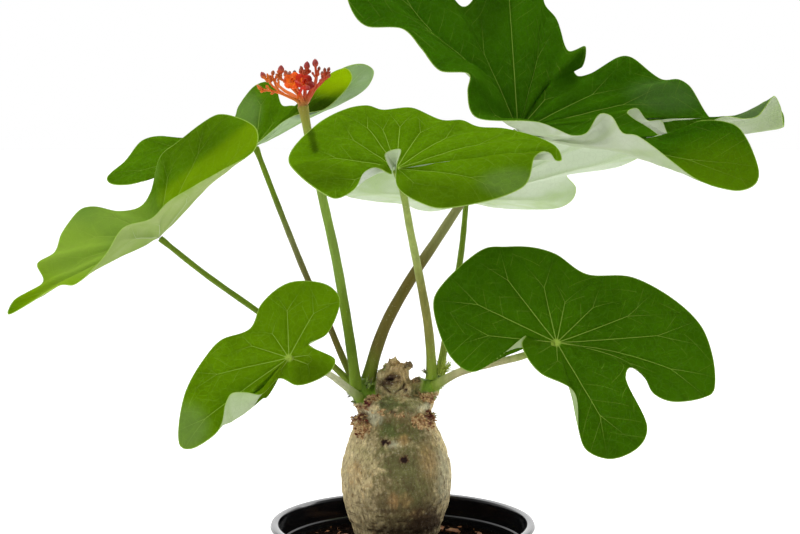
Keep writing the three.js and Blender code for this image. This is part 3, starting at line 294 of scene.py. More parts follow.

# Leaves: centre is the top of the leafstalk, and the margin's points are (right, back, up) from it. A
# fourth value is the crest that a curled edge comes over. Crown lifts the blade half way out, and ribs run
# to these places on the margin, counted in its points. Fresh says how light and yellow the green is, back
# tints the underside lighter or darker as light falls on each leaf, as painted light and shade, veins is how
# much the ribs show, and marks are places of painted light, painted shade and a painted sheen: kind, place,
# half size, share. Bands are marks along a line, seen from the front: kind, both ends (right, up), half
# width, share.
LEAVES = {
    "near_left": {
        "centre": (-52, -50, 201), "fresh": 0.75, "back": (1, 1, 1), "veins": 0.8,
        "marks": [("shady", (12, -2, -7), (14, 9, 9), 0.45), ("painted_sheen", (-46, -12, -30), (14, 12, 16), 0.15)],
        "crown": (0, 1, 1),
        "ribs": (3.3, 5.1, 6.4, 7.9, 9.7, 10.8, 14.6, 18.7, 21.5, 23.3),
        "margin": [
            (9, 3, 6), (17, 6, 10), (23, 13, 25), (20, 15, 30), (14, 16, 33), (-1, 15, 33), (-13, 9, 24),
            (-18, 5, 13), (-31, 3, 8), (-37, 1, 2), (-47, -6, -16), (-48, -14, -38), (-43, -15, -39),
            (-33, -14, -33), (-29, -15, -27, (-28, -12, -28)), (-27, -18, -18, (-25, -11, -26)),
            (-24, -19, -13, (-20, -10, -22)), (-18, -17, -13, (-15, -8, -18)), (-12, -11, -15),
            (-4, -3, -9), (4, -4, -12), (15, -1, -9), (20, 1, -5), (21, 3, -1),
        ],
    },
    "far_left": {
        "centre": (-115, -20, 254), "fresh": 0.4,
        "back": (0.80, 0.78, 0.54), "veins": 0.5,
        "marks": [
            ("sunny", (-48, 2, -12), (44, 70, 32), 0.5), ("sunny", (-23, 0, 6), (30, 60, 22), 0.3),
            ("painted_sheen", (-34, 4, 0), (50, 60, 34), 0.12), ("painted_sheen", (-14, 30, 30), (14, 30, 12), 0.12),
            ("shady", (12, 6, 50), (32, 50, 22), 0.4),
        ],
        "bands": [("sunny", (4, 17), (44, 48), 9, 0.32)],
        "crown": (0, 0, 2),
        "ribs": (0.5, 2.3, 5.4, 7.4, 9.4, 11.6, 13.7, 15.6, 17.5, 19.4, 21.5, 23.5),
        "margin": [
            (28, 29, 58), (22, 34, 57), (4, 34, 44), (-3, 30, 38), (-7, 21, 20), (-11, 19, 14),
            (-24, 27, 11), (-36, 30, 13), (-42, 30, 12), (-50, 21, 1), (-52, 13, -8), (-59, 6, -13),
            (-55, 0, -21), (-67, -8, -29), (-69, -12, -35), (-41, -28, -20), (-33, -34, -19),
            (-19, -38, -6), (-10, -38, 7), (2, -34, 11), (9, -34, 18), (20, -30, 25), (32, -22, 32),
            (46, -10, 41), (46, 4, 51),
        ],
    },
    "high_left": {
        "centre": (-75, 45, 296), "fresh": 0.3,
        "back": (0.79, 0.85, 0.85), "veins": 0.4,
        "marks": [
            ("sunny", (40, -10, 34), (22, 34, 12), 1.0), ("shady", (33, -22, 19), (22, 24, 8), 1.0),
            ("shady", (46, 0, 24), (24, 40, 12), 0.35), ("painted_sheen", (-8, 20, 18), (12, 40, 20), 0.12),
        ],
        "crown": (0, 0, 1),
        "ribs": (1.6, 3.4, 5.5, 9.6, 12.2, 14.4, 16.5, 19.2, 22.5, 24.6, 26.4, 28.2, 30.3, 32.4),
        "margin": [
            (2, -8, 2), (15, -20, 12), (23, -24, 16), (37, -26, 19), (49, -23, 31), (50, -20, 35),
            (47, -16, 39), (38, -12, 36), (29, -6, 26), (32, -2, 29), (45, 4, 40), (55, 9, 42),
            (60, 13, 39), (57, 21, 31), (47, 27, 24), (34, 30, 19), (17, 28, 21), (12, 30, 21), (7, 42, 31),
            (2, 46, 34), (-4, 46, 32), (-12, 36, 21), (-14, 28, 14), (-25, 24, 7), (-37, 24, 0),
            (-52, 32, 5), (-62, 30, 3), (-70, 20, -8), (-77, 6, -16), (-74, 0, -19), (-62, -8, -19),
            (-46, -6, -14), (-17, -12, -3), (-4, -12, -1),
        ],
    },
    "middle": {
        "centre": (-3, -55, 287), "fresh": 0.55, "back": (1.32, 1.19, 1.64), "veins": 0.7,
        "marks": [
            ("shady", (22, -25, -10), (32, 30, 13), 0.35), ("shady", (-33, -18, -1), (18, 20, 12), 0.4),
            ("painted_sheen", (50, -14, -6), (18, 16, 10), 0.1),
        ],
        "bands": [("shady", (-40.4, 20), (-36.3, 8.5), 2.1, 0.85)],
        "crown": (0, 0, 3),
        "ribs": (2.4, 3.9, 6.6, 10.6, 12.2, 14.3, 15.3, 16.6, 17.6, 18.6, 19.9, 22.2),
        "margin": [
            (0, -9, 1), (1, -19, -8), (11, -27, -14), (20, -29, -16), (56, -16, -7), (62, -5, 6),
            (66, -3, 8), (69, -2, 7), (71, -4, 4), (74, -1, 4), (72, 5, 10), (51, 26, 18), (38, 34, 19),
            (31, 40, 22), (22, 43, 22), (7, 49, 28), (-7, 48, 27), (-14, 46, 29), (-27, 36, 26),
            (-41, 15, 16), (-48, -4, 5), (-44, -15, -1), (-31, -28, -10), (-26, -29, -12), (-18, -25, -8),
            (-14, -17, -1), (-9, -12, 1), (-2, -9, -2), (-5, -4, 7), (2, -4, 9),
        ],
    },
    "back": {
        "centre": (34, 80, 267), "fresh": 0.45, "back": (1.24, 1.14, 1.49), "veins": 0.6, "marks": [],
        "crown": (0, 0, 2),
        "ribs": (1.3, 3.2, 4.8, 7.2, 11.6, 13.8, 16.2, 18.6, 21.3, 23.6),
        "margin": [
            (-22, -25, 19), (-12, -31, 27), (1, -34, 30), (21, -35, 33), (57, -31, 36), (73, -28, 35),
            (86, -25, 30), (91, -22, 26), (79, -12, 18), (54, 5, 14), (60, 14, 6), (59, 19, 0),
            (55, 24, -4), (49, 28, -6), (18, 40, -6), (2, 32, -3), (-6, 38, -6), (-18, 41, -8),
            (-25, 40, -7), (-33, 35, -4), (-56, 27, -1), (-65, 18, 2), (-67, 9, 7), (-61, -1, 15),
            (-48, -9, 21), (-34, -15, 19),
        ],
    },
    "near_right": {
        "centre": (70, -50, 208), "fresh": 0.12, "back": (1, 1, 1), "veins": 0.75, "marks": [],
        "crown": (0, 1, 0),
        "ribs": (2.6, 6.4, 12.4, 15.0, 15.9, 16.5, 17.2, 18.4, 19.8, 22.0, 22.9, 24.5),
        "margin": [
            (-16, 0, 0), (-14, -2, -6), (-8, -6, -13), (7, -9, -21), (9, -16, -39), (12, -18, -46),
            (23, -18, -50), (36, -15, -45), (40, -12, -37), (31, -5, -15, (22.3, -3.4, -11)),
            (33, -3, -11, (24.6, -2, -8.3)), (39, -3, -14, (31.7, -1.7, -9.8)),
            (43, -6, -22, (38.7, -3.1, -13.5)), (51, -6, -26, (42.6, -3, -14.9)),
            (67, -2, -25, (50.5, -0.7, -14.2)), (72, 0, -22, (52.1, 0.6, -12.3)), (68, 11, 6), (38, 17, 28),
            (15, 17, 30), (1, 22, 39), (-10, 23, 42), (-22, 25, 42), (-32, 25, 41), (-54, 17, 22),
            (-56, 14, 15), (-48, 1, -7), (-38, -3, -13, (-27, -1.1, -6.8)), (-14, 2, 3),
        ],
    },
    "high_right": {
        "centre": (57, 20, 304), "fresh": 0.0,
        "back": (1.12, 1.02, 1.32), "veins": 0.6,
        "marks": [
            ("sunny", (85, -50, -16), (50, 30, 28), 0.2), ("painted_sheen", (118, 0, 10), (18, 30, 12), 0.2),
            ("shady", (-14, 50, 60), (20, 30, 34), 0.35), ("painted_sheen", (75, 25, 16), (26, 20, 14), 0.07),
        ],
        "crown": (0, 0, 2),
        "ribs": (
            0.4, 3.2, 6.6, 9.6, 13.6, 18.6, 22.6, 32.5, 37.6, 42.5, 44.8, 47.5, 52.4, 56.5, 60.5, 64.2, 67.7,
        ),
        "margin": [
            (-82, 21, 59, (-56, 17, 56)), (-75, 14, 52, (-53, 13, 52)), (-57, 4, 50, (-40, 8, 44)),
            (-48, -4, 40, (-34, 2, 39)), (-39, -12, 29, (-27, -3, 33)), (-25, -18, 27, (-19, -12, 23)),
            (-26, -21, 19), (-23, -28, 7), (7, -38, 4), (22, -48, -2, (16, -30, -2)),
            (28, -48, -1, (21, -31, -2)), (35, -44, 8, (27, -32, -1)), (40, -44, 7, (31, -33, -1)),
            (45, -49, -1, (36, -36, -4)), (51, -51, -2, (41, -39, -7)), (78, -57, -22), (93, -56, -27),
            (101, -54, -27), (107, -50, -24), (109, -46, -19), (105, -35, -3, (73, -29, -8)),
            (100, -32, 3, (70, -26, -6)), (85, -28, 5, (62, -21, -4)), (77, -25, 1, (57, -18, -4)),
            (69, -22, -3, (49, -16, -3)), (63, -14, 1, (45, -9, 2)), (53, -6, 9), (58, -3, 11), (64, 0, 5),
            (71, 2, 5), (75, 3, -2, (55, 4, 5)), (86, 1, -3, (62, 4, 4)), (96, -1, 5, (70, 4, 5)),
            (102, -3, 7, (76, 3, 5)), (111, -4, 6, (82, 3, 3)), (117, -5, 7, (87, 3, 2)),
            (121, -5, 12, (92, 3, 2)), (125, -4, 17, (97, 3, 1)), (129, -1, 12, (104, 4, 0)),
            (132, 4, 2, (113, 6, -2)), (133, 11, 9, (109, 9, -2)), (126, 14, 15, (100, 11, 1)),
            (117, 15, 9, (89, 12, 4)), (110, 16, 7, (80, 13, 6)), (100, 17, 5), (89, 28, 23), (84, 30, 26),
            (76, 31, 26), (60, 38, 38), (55, 38, 38), (39, 33, 29), (32, 30, 28, (26, 23, 22)),
            (30, 30, 32, (24, 23, 24)), (34, 27, 32, (23, 23, 26)), (35, 18, 42, (22, 22, 29)),
            (28, 36, 41), (23, 48, 58), (17, 54, 67, (13, 37, 48)), (18, 60, 83), (13, 64, 96),
            (3, 66, 102), (-8, 64, 99), (-15, 60, 89), (-21, 48, 67), (-26, 45, 64), (-39, 50, 80),
            (-52, 52, 89), (-67, 50, 93), (-79, 42, 87), (-86, 32, 75, (-59, 24, 61)),
        ],
    },
}
CREST_AT = 0.7  # way out at which a ray passes its crest
SPAN = 0.07  # share of the margin, to each side, that a ray's middle is drawn towards
SHARE = 0.6  # how strongly
FORK_SHARE = 0.6  # way out at which a rib of middling length forks
FORK_SPREAD = 15.0  # how fast a rib's two arms part, in millimetres for each length up to the fork
VEIN_SPACING = 8.5
VEIN_LEAN = 0.85  # how far a side vein runs out for each millimetre aside
LEAF_RINGS = (36, 70)  # fewest and most rings of a blade's net
HUB_EDGE = 9.0  # distance from the margin that the blade's hub is marked with

# Flower head, from the top of the flower's stalk: boughs with their radii at both ends, then buds with
# foot, tip, radius and ripeness.
HEAD_BASE = (-48.2, 5, 315.6)
BOUGHS = [
    ([(-0.6, 0, 0.6), (-3.2, -2, 3.2), (-6.5, -4, 4.7), (-10.2, -5, 6.3), (-14.5, -6, 7.4),
      (-18.8, -6, 8.1)], 0.95, 0.5),
    ([(0.1, -0.6, 1.5), (-2.6, -4, 6.3), (-6.3, -6, 10.1), (-10.1, -7, 13.4)], 0.85, 0.55),
    ([(-8.8, -4.5, 6), (-11.7, -5, 7.9), (-14.5, -6, 10.1), (-15.9, -6, 12.4)], 0.6, 0.5),
    ([(-11.2, -4.5, 7.5), (-12.8, -3, 9.9), (-13.8, -2, 12.8)], 0.6, 0.5),
    ([(0.3, -0.6, 1.5), (-1.1, -5, 6.7), (-2.8, -8, 9.3), (-4, -9, 11.2)], 0.75, 0.6),
    ([(0.8, 0, 1.5), (1.1, -2, 8), (1.1, -2, 11.4), (1.6, -2, 15.2)], 0.9, 0.6),
    ([(1.2, 0, 1.5), (3.9, -1, 7.5), (5.9, -2, 10.9), (6.7, -3, 14.2)], 1.35, 0.75),
    ([(1.6, 0.3, 1.8), (5.3, 1, 8.1), (8.2, 2, 11.5), (10.8, 3, 14.6)], 1.15, 0.65),
    ([(0.2, 0.6, 1.5), (-2.8, 6, 7.7), (-6.4, 10, 11.2), (-8, 12, 13.7)], 1.1, 0.7),
    ([(0.6, 1, 1.5), (0.5, 8, 8.2), (-0.2, 13, 12.3), (-0.8, 15, 14.8)], 1.1, 0.7),
    ([(1, 0.8, 1.5), (4, 6, 7.7), (7.2, 11, 10.7), (9.5, 14, 13.3)], 1.1, 0.7),
    ([(-0.3, 0.6, 1.2), (-4.7, 5, 5.3), (-9.3, 9, 7.8), (-12.4, 11, 10.2)], 1.1, 0.7),
]
BUDS = [
    ((-16.4, -6, 11.7), (-19.5, -7, 16.5), 1.35, 1), ((-15.4, -6, 10.8), (-16, -5, 15.1), 0.8, 0.5),
    ((-15, -5, 11.7), (-13.9, -4, 17.4), 0.95, 0.6), ((-13.8, -2, 11.8), (-12.4, -1, 15.2), 0.7, 0.4),
    ((-18.3, -6, 8), (-21.3, -7, 9.3), 0.8, 0), ((-16.9, -6, 7.9), (-20.1, -8, 7.1), 0.7, 0),
    ((-14.5, -6, 7.4), (-17.1, -9, 10.2), 0.8, 0.1), ((-13, -6, 7.1), (-15, -8, 6), 0.6, 0),
    ((-10.7, -5, 6.3), (-12.2, -10, 9.5), 0.85, 0.1), ((-10.1, -7, 13.1), (-9.9, -8, 19.7), 1.55, 1),
    ((-9.6, -7, 12.6), (-12.2, -10, 14.9), 0.7, 0.2), ((-8.7, -6, 11.7), (-7.4, -10, 14), 0.65, 0.2),
    ((1.6, -2, 14.2), (2.3, -3, 21.7), 1.5, 1), ((1.4, -2, 15.7), (-1.1, -2, 19.5), 0.8, 0.7),
    ((1.6, -2, 14.7), (0.4, -5, 17), 0.6, 0.3), ((1.6, -2, 15.2), (3.9, 0, 17.6), 0.7, 0.5),
    ((6.7, -3, 13.7), (6.1, -4, 22.9), 1.5, 1), ((6.9, -3, 14.7), (8.2, -2, 19.3), 0.8, 0.8),
    ((6.7, -3, 13.7), (4.7, -6, 16.5), 0.65, 0.3), ((10.5, 3, 14.4), (10.4, 3, 18.9), 0.85, 0.8),
    ((10.8, 3, 14.6), (12.7, 4, 19.2), 0.85, 0.8), ((9.6, 2, 13.4), (13.3, 1, 15.7), 1, 0.6),
    ((8.6, 2, 11.9), (9.8, -2, 15.2), 0.8, 0.3), ((7.2, 1, 10.5), (8.9, -3, 13.2), 0.7, 0.2),
    ((-3.7, -9, 10.7), (-6.2, -7, 16.3), 0.9, 0.8), ((-3.5, -9, 10.7), (-3.6, -6, 17.4), 0.95, 0.8),
    ((-2.8, -8, 9.3), (-5.5, -11, 12.5), 0.7, 0), ((-2.4, -7, 8.8), (-0.3, -10, 12.6), 0.8, 0.1),
    ((-8, 12, 13.7), (-9.6, 14, 18.1), 1, 0.8), ((-8, 12, 13.7), (-7.3, 16, 17.7), 0.8, 0.6),
    ((-0.8, 15, 14.8), (-2.4, 17, 19.2), 1, 0.8), ((-0.8, 15, 14.8), (0.5, 18, 18.8), 0.9, 0.7),
    ((9.5, 14, 13.3), (8.5, 16, 17.7), 1.1, 0.9), ((9.5, 14, 13.3), (11.4, 17, 16.8), 0.8, 0.6),
    ((-12.4, 11, 10.2), (-15.5, 14, 14.2), 1, 0.8), ((-12.4, 11, 10.2), (-13, 13, 14.2), 0.7, 0.5),
]
SMALL_BUDS = 3  # young buds that crowd round each bough's tip
LARGE_BUD = 1.2  # radius from which a bud counts as large, and is maroon
OPEN_FLOWERS = {  # foot, heading, length of a petal and ripeness
    "open_flower_left": ((-51.6, -2, 325.6), (-0.15, -0.85, 0.45), 4.4, 0.0),
    "open_flower_right": ((-48.2, -3.4, 324.4), (0.3, -0.7, 0.55), 4.8, 1.0),
}
PETALS = 5
STAMENS = 7
STALKLET = 8.0  # length of an open flower's own stalk


def metres(name, description, value, precision=2):
    """A property that holds a length."""
    return FloatProperty(
        name=name, description=description, unit="LENGTH", default=value, precision=precision
    )


def whole(name, description, value, least):
    """A property that holds a whole number."""
    return IntProperty(name=name, description=description, default=value, min=least)


class JatrophaSizes(bpy.types.PropertyGroup):
    """Sizes that a maker may change."""

    pot_height: metres("Pot height", "Height of the pot's lip", POT_BOX[1].z)
    pot_radius: metres("Pot radius", "Radius at the lip", POT_BOX[1].x)
    pot_base: metres("Pot base", "Radius at the foot", 0.046)
    lip: metres("Lip", "Width of the rolled lip", 0.0042)
    blade: metres("Blade", "Thickness of a leaf", 0.0005, 5)
    leaf_grid: metres("Leaf grid", "Length of a leaf's mesh faces", 0.0015, 5)
    bark_grid: metres("Bark grid", "Length of the bark's mesh faces", 0.0006, 5)
    clods: whole("Clods", "Crumbs that lie on the soil", 420, 0)
    cork_crumbs: whole("Cork crumbs", "Crumbs on the stem's scars", 360, 1)
    floor: metres("Floor", "Side of the floor", 40.0)


def colour(name, description, value):
    """A colour property, in linear light."""
    return FloatVectorProperty(
        name=name, description=description, subtype="COLOR", size=3, min=0, max=1, default=value
    )


class JatrophaColours(bpy.types.PropertyGroup):
    """Colours of the plant, its pot and the floor."""

    pot: colour("Pot", "Black plastic of the pot", (0.004, 0.004, 0.0045))
    soil: colour("Soil", "Damp dark soil", (0.004, 0.0025, 0.002))
    chip: colour("Bark chips", "Bark chips on the soil", (0.23, 0.09, 0.03))
    bark: colour("Bark", "Tan bark of the stem", (0.52, 0.42, 0.22))
    bark_dark: colour("Bark marks", "Brown dashes in the bark", (0.10, 0.06, 0.025))
    # Painted shade on the stem, darker in front and on the right
    bark_shade: colour("Bark shade", "Duller bark in front and on the right", (0.15, 0.12, 0.045))
    cork: colour("Cork", "Red brown of the scars' cork", (0.13, 0.035, 0.018))
    moss: colour("Green bark", "Olive green of the bark's middle", (0.045, 0.055, 0.014))
    bloom: colour("Bloom", "Pale bloom on the neck", (0.46, 0.46, 0.33))
    shoot: colour("Shoot", "Bright green of the young shoots", (0.19, 0.33, 0.02))
    stipule: colour("Stipules", "Bristles round the shoots", (0.12, 0.17, 0.03))
    leaf: colour("Leaf", "Deep green of the leaves", (0.032, 0.095, 0.0012))
    leaf_fresh: colour("Fresh leaf", "Yellow green of the younger leaves", (0.125, 0.225, 0.002))
    sheer: colour("Light through", "Light that comes through a leaf", (0.10, 0.27, 0.002))
    sheer_fresh: colour("Light through fresh", "Light that comes through a young leaf", (0.30, 0.50, 0.004))
    leaf_under: colour("Leaf back", "Pale backs of the leaves", (0.56, 0.67, 0.40))
    rib: colour("Ribs", "Pale ribs of the leaves", (0.38, 0.53, 0.08))
    twig: colour("Twigs", "Coral twigs of the flower head", (0.47, 0.052, 0.014))
    bud: colour("Buds", "Dusty maroon tips of the buds", (0.27, 0.035, 0.03))
    petal: colour("Petals", "Orange-red petals", (0.62, 0.028, 0.003))
    throat: colour("Throat", "Orange-yellow throat of a flower", (0.95, 0.34, 0.02))
    floor: colour("Floor", "Plain pale floor", (0.95, 0.95, 0.95))


def sizes():
    """The sizes that the scene holds."""
    return bpy.context.scene.jatropha_sizes


def colours():
    """The colours that the scene holds."""
    return bpy.context.scene.jatropha_colours


def choose(*objects):
    """Selects only these objects and makes the first of them active."""
    if bpy.context.object and bpy.context.object.mode != "OBJECT":
        bpy.ops.object.mode_set(mode="OBJECT")
    bpy.ops.object.select_all(action="DESELECT")
    for obj in objects:
        obj.select_set(True)
    bpy.context.view_layer.objects.active = objects[0]


def added(name):
    """Names the object that an operator has just added."""
    obj = bpy.context.object
    obj.name = name
    obj.data.name = name
    return obj


def joined(name, objects):
    """Joins objects into the first of them."""
    choose(*objects)
    bpy.ops.object.join()
    return added(name)


def use_modifier(obj, kind, **settings):
    """Adds a modifier with these settings and applies it."""
    choose(obj)
    modifier = obj.modifiers.new(kind.title(), kind)
    for key, value in settings.items():
        setattr(modifier, key, value)
    bpy.ops.object.modifier_apply(modifier=modifier.name)


def finished(obj, material, slot, *nodes, smooth=50):
    """Gives a piece its material and shading, and ties it to the frame."""
    choose(obj)
    bpy.ops.object.transform_apply(location=True, rotation=True, scale=True)
    bpy.ops.object.shade_smooth_by_angle(angle=math.radians(smooth))
    obj.data.materials.clear()
    obj.data.materials.append(material)
    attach(obj, BODY)
    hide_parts(*nodes)


def mesh_object(name, points, faces):
    """An object from points in millimetres and faces."""
    mesh = bpy.data.meshes.new(name)
    mesh.from_pydata((np.asarray(points, float) * MM).tolist(), [], faces)
    obj = bpy.data.objects.new(name, mesh)
    bpy.context.scene.collection.objects.link(obj)
    return obj


def note(obj, name, values):
    """Writes one number for each of a mesh's points, for its material to read."""
    attribute = obj.data.attributes.new(name, "FLOAT", "POINT")
    attribute.data.foreach_set("value", np.asarray(values, np.float32))


def note_colour(obj, name, values):
    """Writes one colour for each of a mesh's points."""
    attribute = obj.data.attributes.new(name, "FLOAT_COLOR", "POINT")
    rows = np.ones((len(values), 4), np.float32)
    rows[:, :3] = values
    attribute.data.foreach_set("color", rows.ravel())


def note_all(obj, **values):
    """Writes the same number for all of a mesh's points, under each of these names."""
    for name, value in values.items():
        note(obj, name, np.full(len(obj.data.vertices), value))


def noted(obj, name):
    """The numbers that are written for a mesh's points under this name."""
    values = np.empty(len(obj.data.vertices), np.float32)
    obj.data.attributes[name].data.foreach_get("value", values)
    return values


def places(obj):
    """A mesh's points in millimetres."""
    found = np.empty(len(obj.data.vertices) * 3)
    obj.data.vertices.foreach_get("co", found)
    return found.reshape(-1, 3) / MM


def normals(obj):
    """The directions in which a mesh's points face."""
    found = np.empty(len(obj.data.vertices) * 3)
    obj.data.vertex_normals.foreach_get("vector", found)
    return found.reshape(-1, 3)


def move_to(obj, points):
    """Puts a mesh's points at places in millimetres."""
    obj.data.vertices.foreach_set("co", (np.asarray(points) * MM).ravel())
    obj.data.update()


def smoothstep(value, low, high):
    """Rises smoothly from 0 at low to 1 at high, and holds outside."""
    part = np.clip((value - low) / (high - low), 0, 1)
    return part * part * (3 - 2 * part)


def rough(points, grain, depth=3):
    """Fractal noise of about -1 to 1 at points in millimetres, with features of about grain."""
    return np.array([noise.fractal(Vector(p) / grain, 0.6, 2.1, depth) for p in points])


def distances(points, spots):
    """How far each point lies from the nearest of the spots."""
    tree = kdtree.KDTree(len(spots))
    for number, spot in enumerate(spots):
        tree.insert(spot, number)
    tree.balance()
    return np.array([tree.find(point)[2] for point in points])


def curve_through(knots, ways, chords):
    """Points at ways along a smooth closed curve through knots, spaced by the chords of another curve."""
    count = len(knots)
    low = np.floor(ways).astype(int)
    part = (ways - low)[:, None]
    quad = [knots[(low + k) % count] for k in (-1, 0, 1, 2)]
    base = [chords[(low + k) % count] for k in (-1, 0, 1, 2)]
    steps = [np.linalg.norm(base[k + 1] - base[k], axis=1) for k in range(3)]
    gaps = [np.maximum(step, 1e-6)[:, None] ** 0.5 for step in steps]
    t0 = 0
    t1 = gaps[0]
    t2 = t1 + gaps[1]
    t3 = t2 + gaps[2]
    t = t1 + (t2 - t1) * part
    a1 = (t1 - t) / (t1 - t0) * quad[0] + (t - t0) / (t1 - t0) * quad[1]
    a2 = (t2 - t) / (t2 - t1) * quad[1] + (t - t1) / (t2 - t1) * quad[2]
    a3 = (t3 - t) / (t3 - t2) * quad[2] + (t - t2) / (t3 - t2) * quad[3]
    b1 = (t2 - t) / (t2 - t0) * a1 + (t - t0) / (t2 - t0) * a2
    b2 = (t3 - t) / (t3 - t1) * a2 + (t - t1) / (t3 - t1) * a3
    return (t2 - t) / (t2 - t1) * b1 + (t - t1) / (t2 - t1) * b2


def smooth_route(points, rings):
    """Evenly spaced points along a smooth open curve."""
    knots = np.array(points, float)
    knots = np.vstack([2 * knots[0] - knots[1], knots, 2 * knots[-1] - knots[-2]])
    ways = np.linspace(1, len(knots) - 2, 24 * len(knots))
    ways[-1] -= 1e-9
    fine = curve_through(knots, ways, knots)
    reach = np.concatenate([[0], np.cumsum(np.linalg.norm(np.diff(fine, axis=0), axis=1))])
    even = np.linspace(0, reach[-1], rings)
    return np.stack([np.interp(even, reach, fine[:, axis]) for axis in range(3)], 1)


def net_faces(rings, sides):
    """Faces between the rings of a closed net of points."""
    faces = []
    for start in range(0, (rings - 1) * sides, sides):
        for step in range(sides):
            here = start + step
            beside = start + (step + 1) % sides
            faces.append((here, beside, beside + sides, here + sides))
    return faces


def tube_object(name, route, radius_at, sides, rings, relief=None):
    """A round closed tube in millimetres, whose points know how far along it they lie."""
    spine = smooth_route(route, rings)
    aim = np.gradient(spine, axis=0)
    aim /= np.linalg.norm(aim, axis=1)[:, None]
    side = Vector(aim[0]).orthogonal().normalized()
    points = []
    along = []
    for ring in range(rings):
        share = ring / (rings - 1)
        ahead = Vector(aim[ring])
        side = (side - ahead * side.dot(ahead)).normalized()
        across = ahead.cross(side)
        for step in range(sides):
            angle = 2 * math.pi * step / sides
            reach = radius_at(share) + (relief(share, angle) if relief else 0)
            spoke = side * math.cos(angle) + across * math.sin(angle)
            points.append(Vector(spine[ring]) + spoke * reach)
            along.append(share)
    faces = net_faces(rings, sides)
    for ring, order in ((0, -1), (rings - 1, 1)):
        start = ring * sides
        middle = len(points)
        points.append(Vector(spine[ring]) + Vector(aim[ring]) * order * 0.25 * radius_at(ring / (rings - 1)))
        along.append(ring / (rings - 1))
        for step in range(sides):
            pair = (start + step, start + (step + 1) % sides)
            faces.append((*pair[::order], middle))
    obj = mesh_object(name, points, faces)
    note(obj, "along", along)
    return obj


def taper(foot, top):
    """A radius that runs evenly from foot to top."""
    return lambda share: foot + (top - foot) * share


def times(tone, factor):
    """A colour with all its channels multiplied by a factor."""
    return tuple(factor * channel for channel in tone)


def between(one, other, share):
    """The colour or place that lies a share of the way from one to the other."""
    return tuple(a + (b - a) * share for a, b in zip(one, other))


class Nodes:
    """A node tree under construction: the helpers add nodes and give back their output sockets."""

    def __init__(self, tree):
        self.tree = tree

    def put(self, socket, value):
        """Links an output to a socket, or writes a number or colour into it."""
        if isinstance(value, bpy.types.NodeSocket):
            self.tree.links.new(value, socket)
        elif value is not None:
            is_colour = socket.type == "RGBA" and len(value) == 3
            socket.default_value = (*value, 1) if is_colour else value

    def maths(self, operation, *values):
        """A sum, product or other operation on numbers or outputs."""
        node = self.tree.nodes.new("ShaderNodeMath")
        node.operation = operation
        for socket, value in zip(node.inputs, values):
            self.put(socket, value)
        return node.outputs[0]

    def span(self, value, low, high, to_low=0.0, to_high=1.0):
        """Maps low to high smoothly onto to_low to to_high, and holds outside."""
        node = self.tree.nodes.new("ShaderNodeMapRange")
        node.interpolation_type = "SMOOTHSTEP"
        for socket, number in zip(node.inputs, (value, low, high, to_low, to_high)):
            self.put(socket, number)
        return node.outputs[0]

    def parts(self, coordinates):
        """The three numbers of a place or direction."""
        node = self.tree.nodes.new("ShaderNodeSeparateXYZ")
        self.put(node.inputs[0], coordinates)
        return node.outputs


class Finish(Nodes):
    """A material under construction."""

    def __init__(self, name):
        self.material = bpy.data.materials.new(name)
        self.material.use_nodes = True
        super().__init__(self.material.node_tree)
        self.tree.nodes.clear()
        self.output = self.tree.nodes.new("ShaderNodeOutputMaterial")
        self.object = self.tree.nodes.new("ShaderNodeTexCoord").outputs["Object"]

    def mix(self, share, one, other, blend="MIX"):
        node = self.tree.nodes.new("ShaderNodeMix")
        node.data_type = "RGBA"
        node.blend_type = blend
        self.put(node.inputs["Factor"], share)
        self.put(node.inputs[6], one)
        self.put(node.inputs[7], other)
        return node.outputs[2]

    def attribute(self, name, output="Fac"):
        node = self.tree.nodes.new("ShaderNodeAttribute")
        node.attribute_name = name
        return node.outputs[output]

    def stretched(self, scale):
        """The object's coordinates with each axis multiplied, so that a pattern is drawn out."""
        node = self.tree.nodes.new("ShaderNodeMapping")
        self.put(node.inputs["Vector"], self.object)
        self.put(node.inputs["Scale"], scale)
        return node.outputs[0]

    def noise(self, scale, detail=4.0, roughness=0.55, coordinates=None):
        node = self.tree.nodes.new("ShaderNodeTexNoise")
        self.put(node.inputs["Vector"], coordinates or self.object)
        self.put(node.inputs["Scale"], scale)
        self.put(node.inputs["Detail"], detail)
        self.put(node.inputs["Roughness"], roughness)
        return node.outputs["Fac"]

    def cells(self, scale, feature="F1"):
        node = self.tree.nodes.new("ShaderNodeTexVoronoi")
        node.feature = feature
        self.put(node.inputs["Vector"], self.object)
        self.put(node.inputs["Scale"], scale)
        return node.outputs["Distance"]

    def map(self, name):
        """The two numbers that a UV map of the mesh holds."""
        node = self.tree.nodes.new("ShaderNodeUVMap")
        node.uv_map = name
        return self.parts(node.outputs[0])[:2]

    def bump(self, height, distance, strength=1.0):
        node = self.tree.nodes.new("ShaderNodeBump")
        self.put(node.inputs["Height"], height)
        self.put(node.inputs["Distance"], distance)
        self.put(node.inputs["Strength"], strength)
        return node.outputs[0]

    def coat(self, base, roughness, normal=None, **more):
        node = self.tree.nodes.new("ShaderNodeBsdfPrincipled")
        self.put(node.inputs["Base Color"], base)
        self.put(node.inputs["Roughness"], roughness)
        self.put(node.inputs["Normal"], normal)
        for name, value in more.items():
            self.put(node.inputs[name.replace("_", " ")], value)
        return node.outputs[0]

    def glow(self, surface, tint, share, normal=None):
        """Lets some light through a thin piece."""
        sheer = self.tree.nodes.new("ShaderNodeBsdfTranslucent")
        self.put(sheer.inputs["Color"], tint)
        self.put(sheer.inputs["Normal"], normal)
        node = self.tree.nodes.new("ShaderNodeMixShader")
        self.put(node.inputs[0], share)
        self.put(node.inputs[1], surface)
        self.put(node.inputs[2], sheer.outputs[0])
        return node.outputs[0]

    def done(self, surface):
        self.put(self.output.inputs["Surface"], surface)
        return self.material


